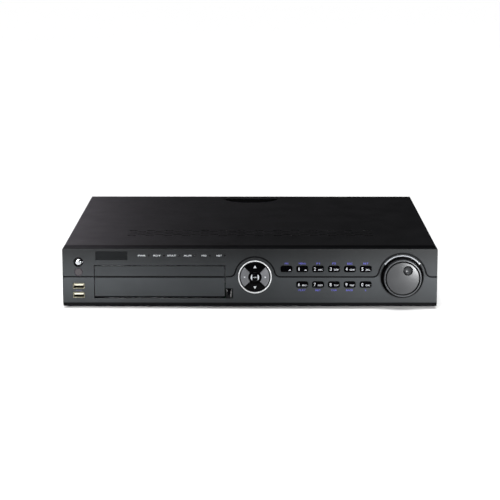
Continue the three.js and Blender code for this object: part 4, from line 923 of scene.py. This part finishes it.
for x, z in RCA:
    k = 1 if z > 30 else 2
    b.lathe(x, z, soft_profile([(4.25, 388.85, 0), (5.6, 388.85, 0.2), (5.6, 390.6, 0.4), (4.25, 390.9, 0)]), 44, m=k)
    b.lathe(x, z, soft_profile([(3.3, 387, 0), (4.2, 387, 0), (4.2, 397.3, 0.2), (3.95, 397.95, 0.2), (3.45, 397.9, 0.1), (3.3, 397.0, 0.1)]), 44, m=0)
    b.lathe(x, z, soft_profile([(1.7, 388, 0), (3.3, 388, 0), (3.3, 396.2, 0.2), (1.7, 396.4, 0.3)]), 40, m=k)
make("audio_jack_sockets", b, ["nickel", "white", "red", "black"], "chassis", replaces=("audio_jack_block",))
# blue insert of the monitor socket with its fifteen contact holes, whose walls are near-black as painted shade
VX, VZ = 72, 25
b = Build()
ins = rounded([(VX - 6.55, VZ - 3.5, 0.9), (VX + 6.55, VZ - 3.5, 0.9), (VX + 7.7, VZ + 3.5, 0.9), (VX - 7.7, VZ + 3.5, 0.9)])
pins = [(VX - 4.6 + 2.3 * i + (0 if r != 1 else 0.0) + (0.57 if r == 1 else 0), VZ + 1.95 - 1.95 * r) for r in range(3) for i in range(5)]
b.plate(ins, [circ(x, z, 0.42, 12) for x, z in pins], rear, 393.4, 388.2, lip=0.25, hlip=0.05, seg=2, m=0, mwall=1)
make("monitor_socket_insert", b, ["vga_blue", "groove"], "chassis")
# dark tongue of the display socket, contacts and lights of the network socket
b = Build()
b.plate(rect(31.9, 44.1, 23.5, 24.6, 0.2), [], rear, 388.2, 379.6, lip=0.15, m=0)
for i in range(9):
    b.plate(rect(33.2 + i * 1.1, 33.6 + i * 1.1, 23.42, 23.52), [], rear, 388.0, 380.5, lip=0, m=1)
for i in range(8):
    b.plate(rect(12 - 4.7 + i * 1.27, 12 - 4.2 + i * 1.27, 28.7, 29.1), [], rear, 388.4, 380.0, lip=0, m=1)
b.plate(rrect(12 - 6.95, 20.6, 1.5, 1.9, 0.2), [], rear, 389.7, 389.0, lip=0.08, m=2)
b.plate(rrect(12 + 6.95, 20.6, 1.5, 1.9, 0.2), [], rear, 389.7, 389.0, lip=0.08, m=3)
make("socket_contacts", b, ["black", "gold", "link_green", "link_amber"], "chassis")
# brass blades of the mains inlet
b = Build()
for x, z in ((-191, 23.8), (-177, 23.8), (-184, 28.3)):
    b.plate(rect(x - 1.06, x + 1.06, z - 2.06, z + 2.06, 0.3), [], rear, 386.15, 375.3, lip=0.45)
make("inlet_blades", b, "gold", "chassis")
# clamp screws of the terminal block, lying in the wells of its top
b = Build()
for i in range(12):
    x = 44 - 30.4 + 2.6 + i * 5.06
    b.lathe(x, 391.3, [(0, 51.9), (1.1, 51.9), (1.35, 51.7), (1.35, 51.4), (0, 51.4)], 20, mp=lambda px, d, pz: P(px, pz, d))
    b.plate(rect(x - 1.3, x + 1.3, 44.2, 47.4, 0.2), [], rear, 390.25, 389.6, lip=0)
make("terminal_clamps", b, "screw", "chassis")
# screws of the fan and of the rear sheet, cross-slotted, the slots near-black as painted shade
b = Build()
for x, z in [(-80 + sx * 25, 36 + sz * 25) for sx in (-1, 1) for sz in (-1, 1)] + [(-212, 64), (-128, 64), (212, 64), (86, 64), (-212, 12), (212, 12), (86, 12), (-36, 12), (-36, 64)]:
    b.lathe(x, z, soft_profile([(0, 390.55, 0), (1.2, 390.5, 0), (2.3, 390.1, 0.3), (2.75, 389.2, 0.2), (2.75, 388.82, 0), (0, 388.82, 0)]), 28, m=0)
    b.plate(rect(x - 1.3, x + 1.3, z - 0.22, z + 0.22), [], rear, 390.6, 390.3, lip=0, m=1)
    b.plate(rect(x - 0.22, x + 0.22, z - 1.3, z + 1.3), [], rear, 390.61, 390.31, lip=0, m=1)
make("rear_screws", b, ["screw", "groove"], "chassis")
# plain printed words beside the sockets
b = Build()
rear_text(b, "VIDEO IN", 164.5, 60.2, 2.6, 16)
for i, (x, z) in enumerate(BNC):
    rear_text(b, str(i + 1), x - 7.6, z - 6.6, 2.0, 1.3 if i else 0.8)
rear_text(b, "AUDIO IN", 106.5, 53.6, 2.2, 13)
rear_text(b, "AUDIO OUT", 106.5, 33.0, 2.0, 13)
rear_text(b, "MONITOR", 72, 35.2, 2.2, 12)
rear_text(b, "DISPLAY", 38, 31.2, 2.2, 11)
rear_text(b, "LAN", 12, 36.2, 2.2, 6)
rear_text(b, "ALARM", 44, 57.4, 2.4, 11)
rear_text(b, "AC IN", -172, 44.0, 2.6, 9)
make("rear_legends", b, "grey_ink", "chassis")
# ON and OFF marks on the mains rocker
sw = NODES["power_switch"]
inv = sw.matrix_world.inverted()


def rocker(x, z, d):
    o, t = inv @ Vector(P(x, 398, z)), inv.to_3x3() @ Vector((0, -1, 0))
    ok, hit, _, _ = sw.ray_cast(o, t)
    y = ((sw.matrix_world @ hit).y - YF) / MM if ok else 390.0
    return P(x, y + 0.04 - d, z)


b = Build()
b.plate(rect(-156.35, -155.65, 29.6, 33.0), [], rocker, 0.0, 0.3, lip=0)
b.plate(circ(-156, 20.6, 1.9, 32), [circ(-156, 20.6, 1.3, 32)], rocker, 0.0, 0.3, lip=0)
make("rocker_marks", b, "white_ink", "power_switch_body")

# ------------------------------------------------------------------ the frame's own pieces keep their shape and get their finish
FINISH = {
    "chassis_base": "cover", "front_subpanel": "steel", "power_supply": "cover", "optical_drive": "steel", "disc_tray": "black",
    "rear_panel": "cover", "connector_panel": "cover", "vga_port": "nickel", "hdmi_port": "nickel",
    "network_port": "nickel", "alarm_terminal_block": "terminal", "power_inlet": "black", "power_switch": "black", "fan_frame": "black",
    "fan_rotor": "black", "main_board": "board", "front_control_board": "board", "front_io_board": "board", "processor_heatsink": "fins",
    "hard_drive_1": "cast", "hard_drive_2": "cast", "cover_screw_1": "screw", "cover_screw_2": "screw",
}
for node, mat in FINISH.items():
    o = NODES[node]
    o.data.materials.clear()
    o.data.materials.append(M[mat])
    bev = o.modifiers.new("edge", "BEVEL")
    bev.width = 0.25 * MM
    bev.segments = 2
    bev.limit_method = "ANGLE"
    bev.angle_limit = rad(40)
    bev.use_clamp_overlap = True

# ------------------------------------------------------------------ floor, lights, camera
fl = bpy.data.meshes.new("floor")
S = 40.0
fl.from_pydata([(-S, -S, 0), (S, -S, 0), (S, S, 0), (-S, S, 0)], [], [(0, 1, 2, 3)])
floor = bpy.data.objects.new("floor", fl)
bpy.context.scene.collection.objects.link(floor)
fm, fnt, fb = new_material("floor_pale")
fb.inputs["Base Color"].default_value = (0.90, 0.90, 0.90, 1)
fb.inputs["Roughness"].default_value = 0.9
fb.inputs["Specular IOR Level"].default_value = 0.1
fl.materials.append(fm)


def area(name, loc, target, size, size_y, power, colour=(1, 1, 1)):
    d = bpy.data.lights.new(name, "AREA")
    d.shape = "RECTANGLE"
    d.size, d.size_y = size, size_y
    d.energy = power
    d.color = colour
    o = bpy.data.objects.new(name, d)
    o.location = loc
    o.rotation_euler = (Vector(target) - Vector(loc)).to_track_quat("-Z", "Y").to_euler()
    o.visible_camera = False
    bpy.context.scene.collection.objects.link(o)
    return o


sun = bpy.data.lights.new("overhead_soft", "SUN")
sun.energy = 3.65
sun.angle = rad(50)
so = bpy.data.objects.new("overhead_soft", sun)
so.rotation_euler = (rad(11), 0, 0)
bpy.context.scene.collection.objects.link(so)
def snoot(name, loc, target, power, cone, radius):
    d = bpy.data.lights.new(name, "SPOT")
    d.energy = power
    d.spot_size = rad(cone)
    d.spot_blend = 1.0
    d.shadow_soft_size = radius
    o = bpy.data.objects.new(name, d)
    o.location = loc
    o.rotation_euler = (Vector(target) - Vector(loc)).to_track_quat("-Z", "Y").to_euler()
    o.visible_camera = False
    bpy.context.scene.collection.objects.link(o)
    return o


area("softbox_left", (-0.70, YF - 0.80, 0.26), (-0.02, YF, 0.03), 0.16, 0.22, 2.6)
area("softbox_right", (0.74, YF - 0.84, 0.24), (0.02, YF, 0.03), 0.16, 0.22, 2.6)
snoot("snoot_left", (-0.62, YF - 1.05, 0.34), (-0.28, YF, 0.035), 100, 25, 0.10)
snoot("snoot_right", (0.64, YF - 1.05, 0.13), (0.27, YF, 0.035), 120, 25, 0.10)
area("softbox_front_left", (-0.42, YF - 2.25, 0.80), (0.09, YF, 0.04), 0.34, 0.30, 8.0)
area("softbox_back_left", (-1.75, 3.3, 1.0), (-0.1, 0.0, 0.07), 2.6, 1.5, 12.0, (0.97, 0.90, 1.0))

world = bpy.data.worlds.new("studio")
bpy.context.scene.world = world
world.use_nodes = True
bg = world.node_tree.nodes.get("Background")
bg.inputs["Color"].default_value = (0.9, 0.93, 1.0, 1)
bg.inputs["Strength"].default_value = 0.006

cam = bpy.data.cameras.new("camera")
cam.lens = 127.72
cam.sensor_width = 36.0
cam.clip_end = 200
co = bpy.data.objects.new("camera", cam)
co.location = (0.0076, YF - 2.0612, TOP_M + 0.3985)
co.rotation_euler = (rad(90 - 10.977), 0, rad(0.207))
bpy.context.scene.collection.objects.link(co)
bpy.context.scene.camera = co
bpy.context.scene.view_settings.view_transform = "Standard"
bpy.context.scene.view_settings.look = "None"
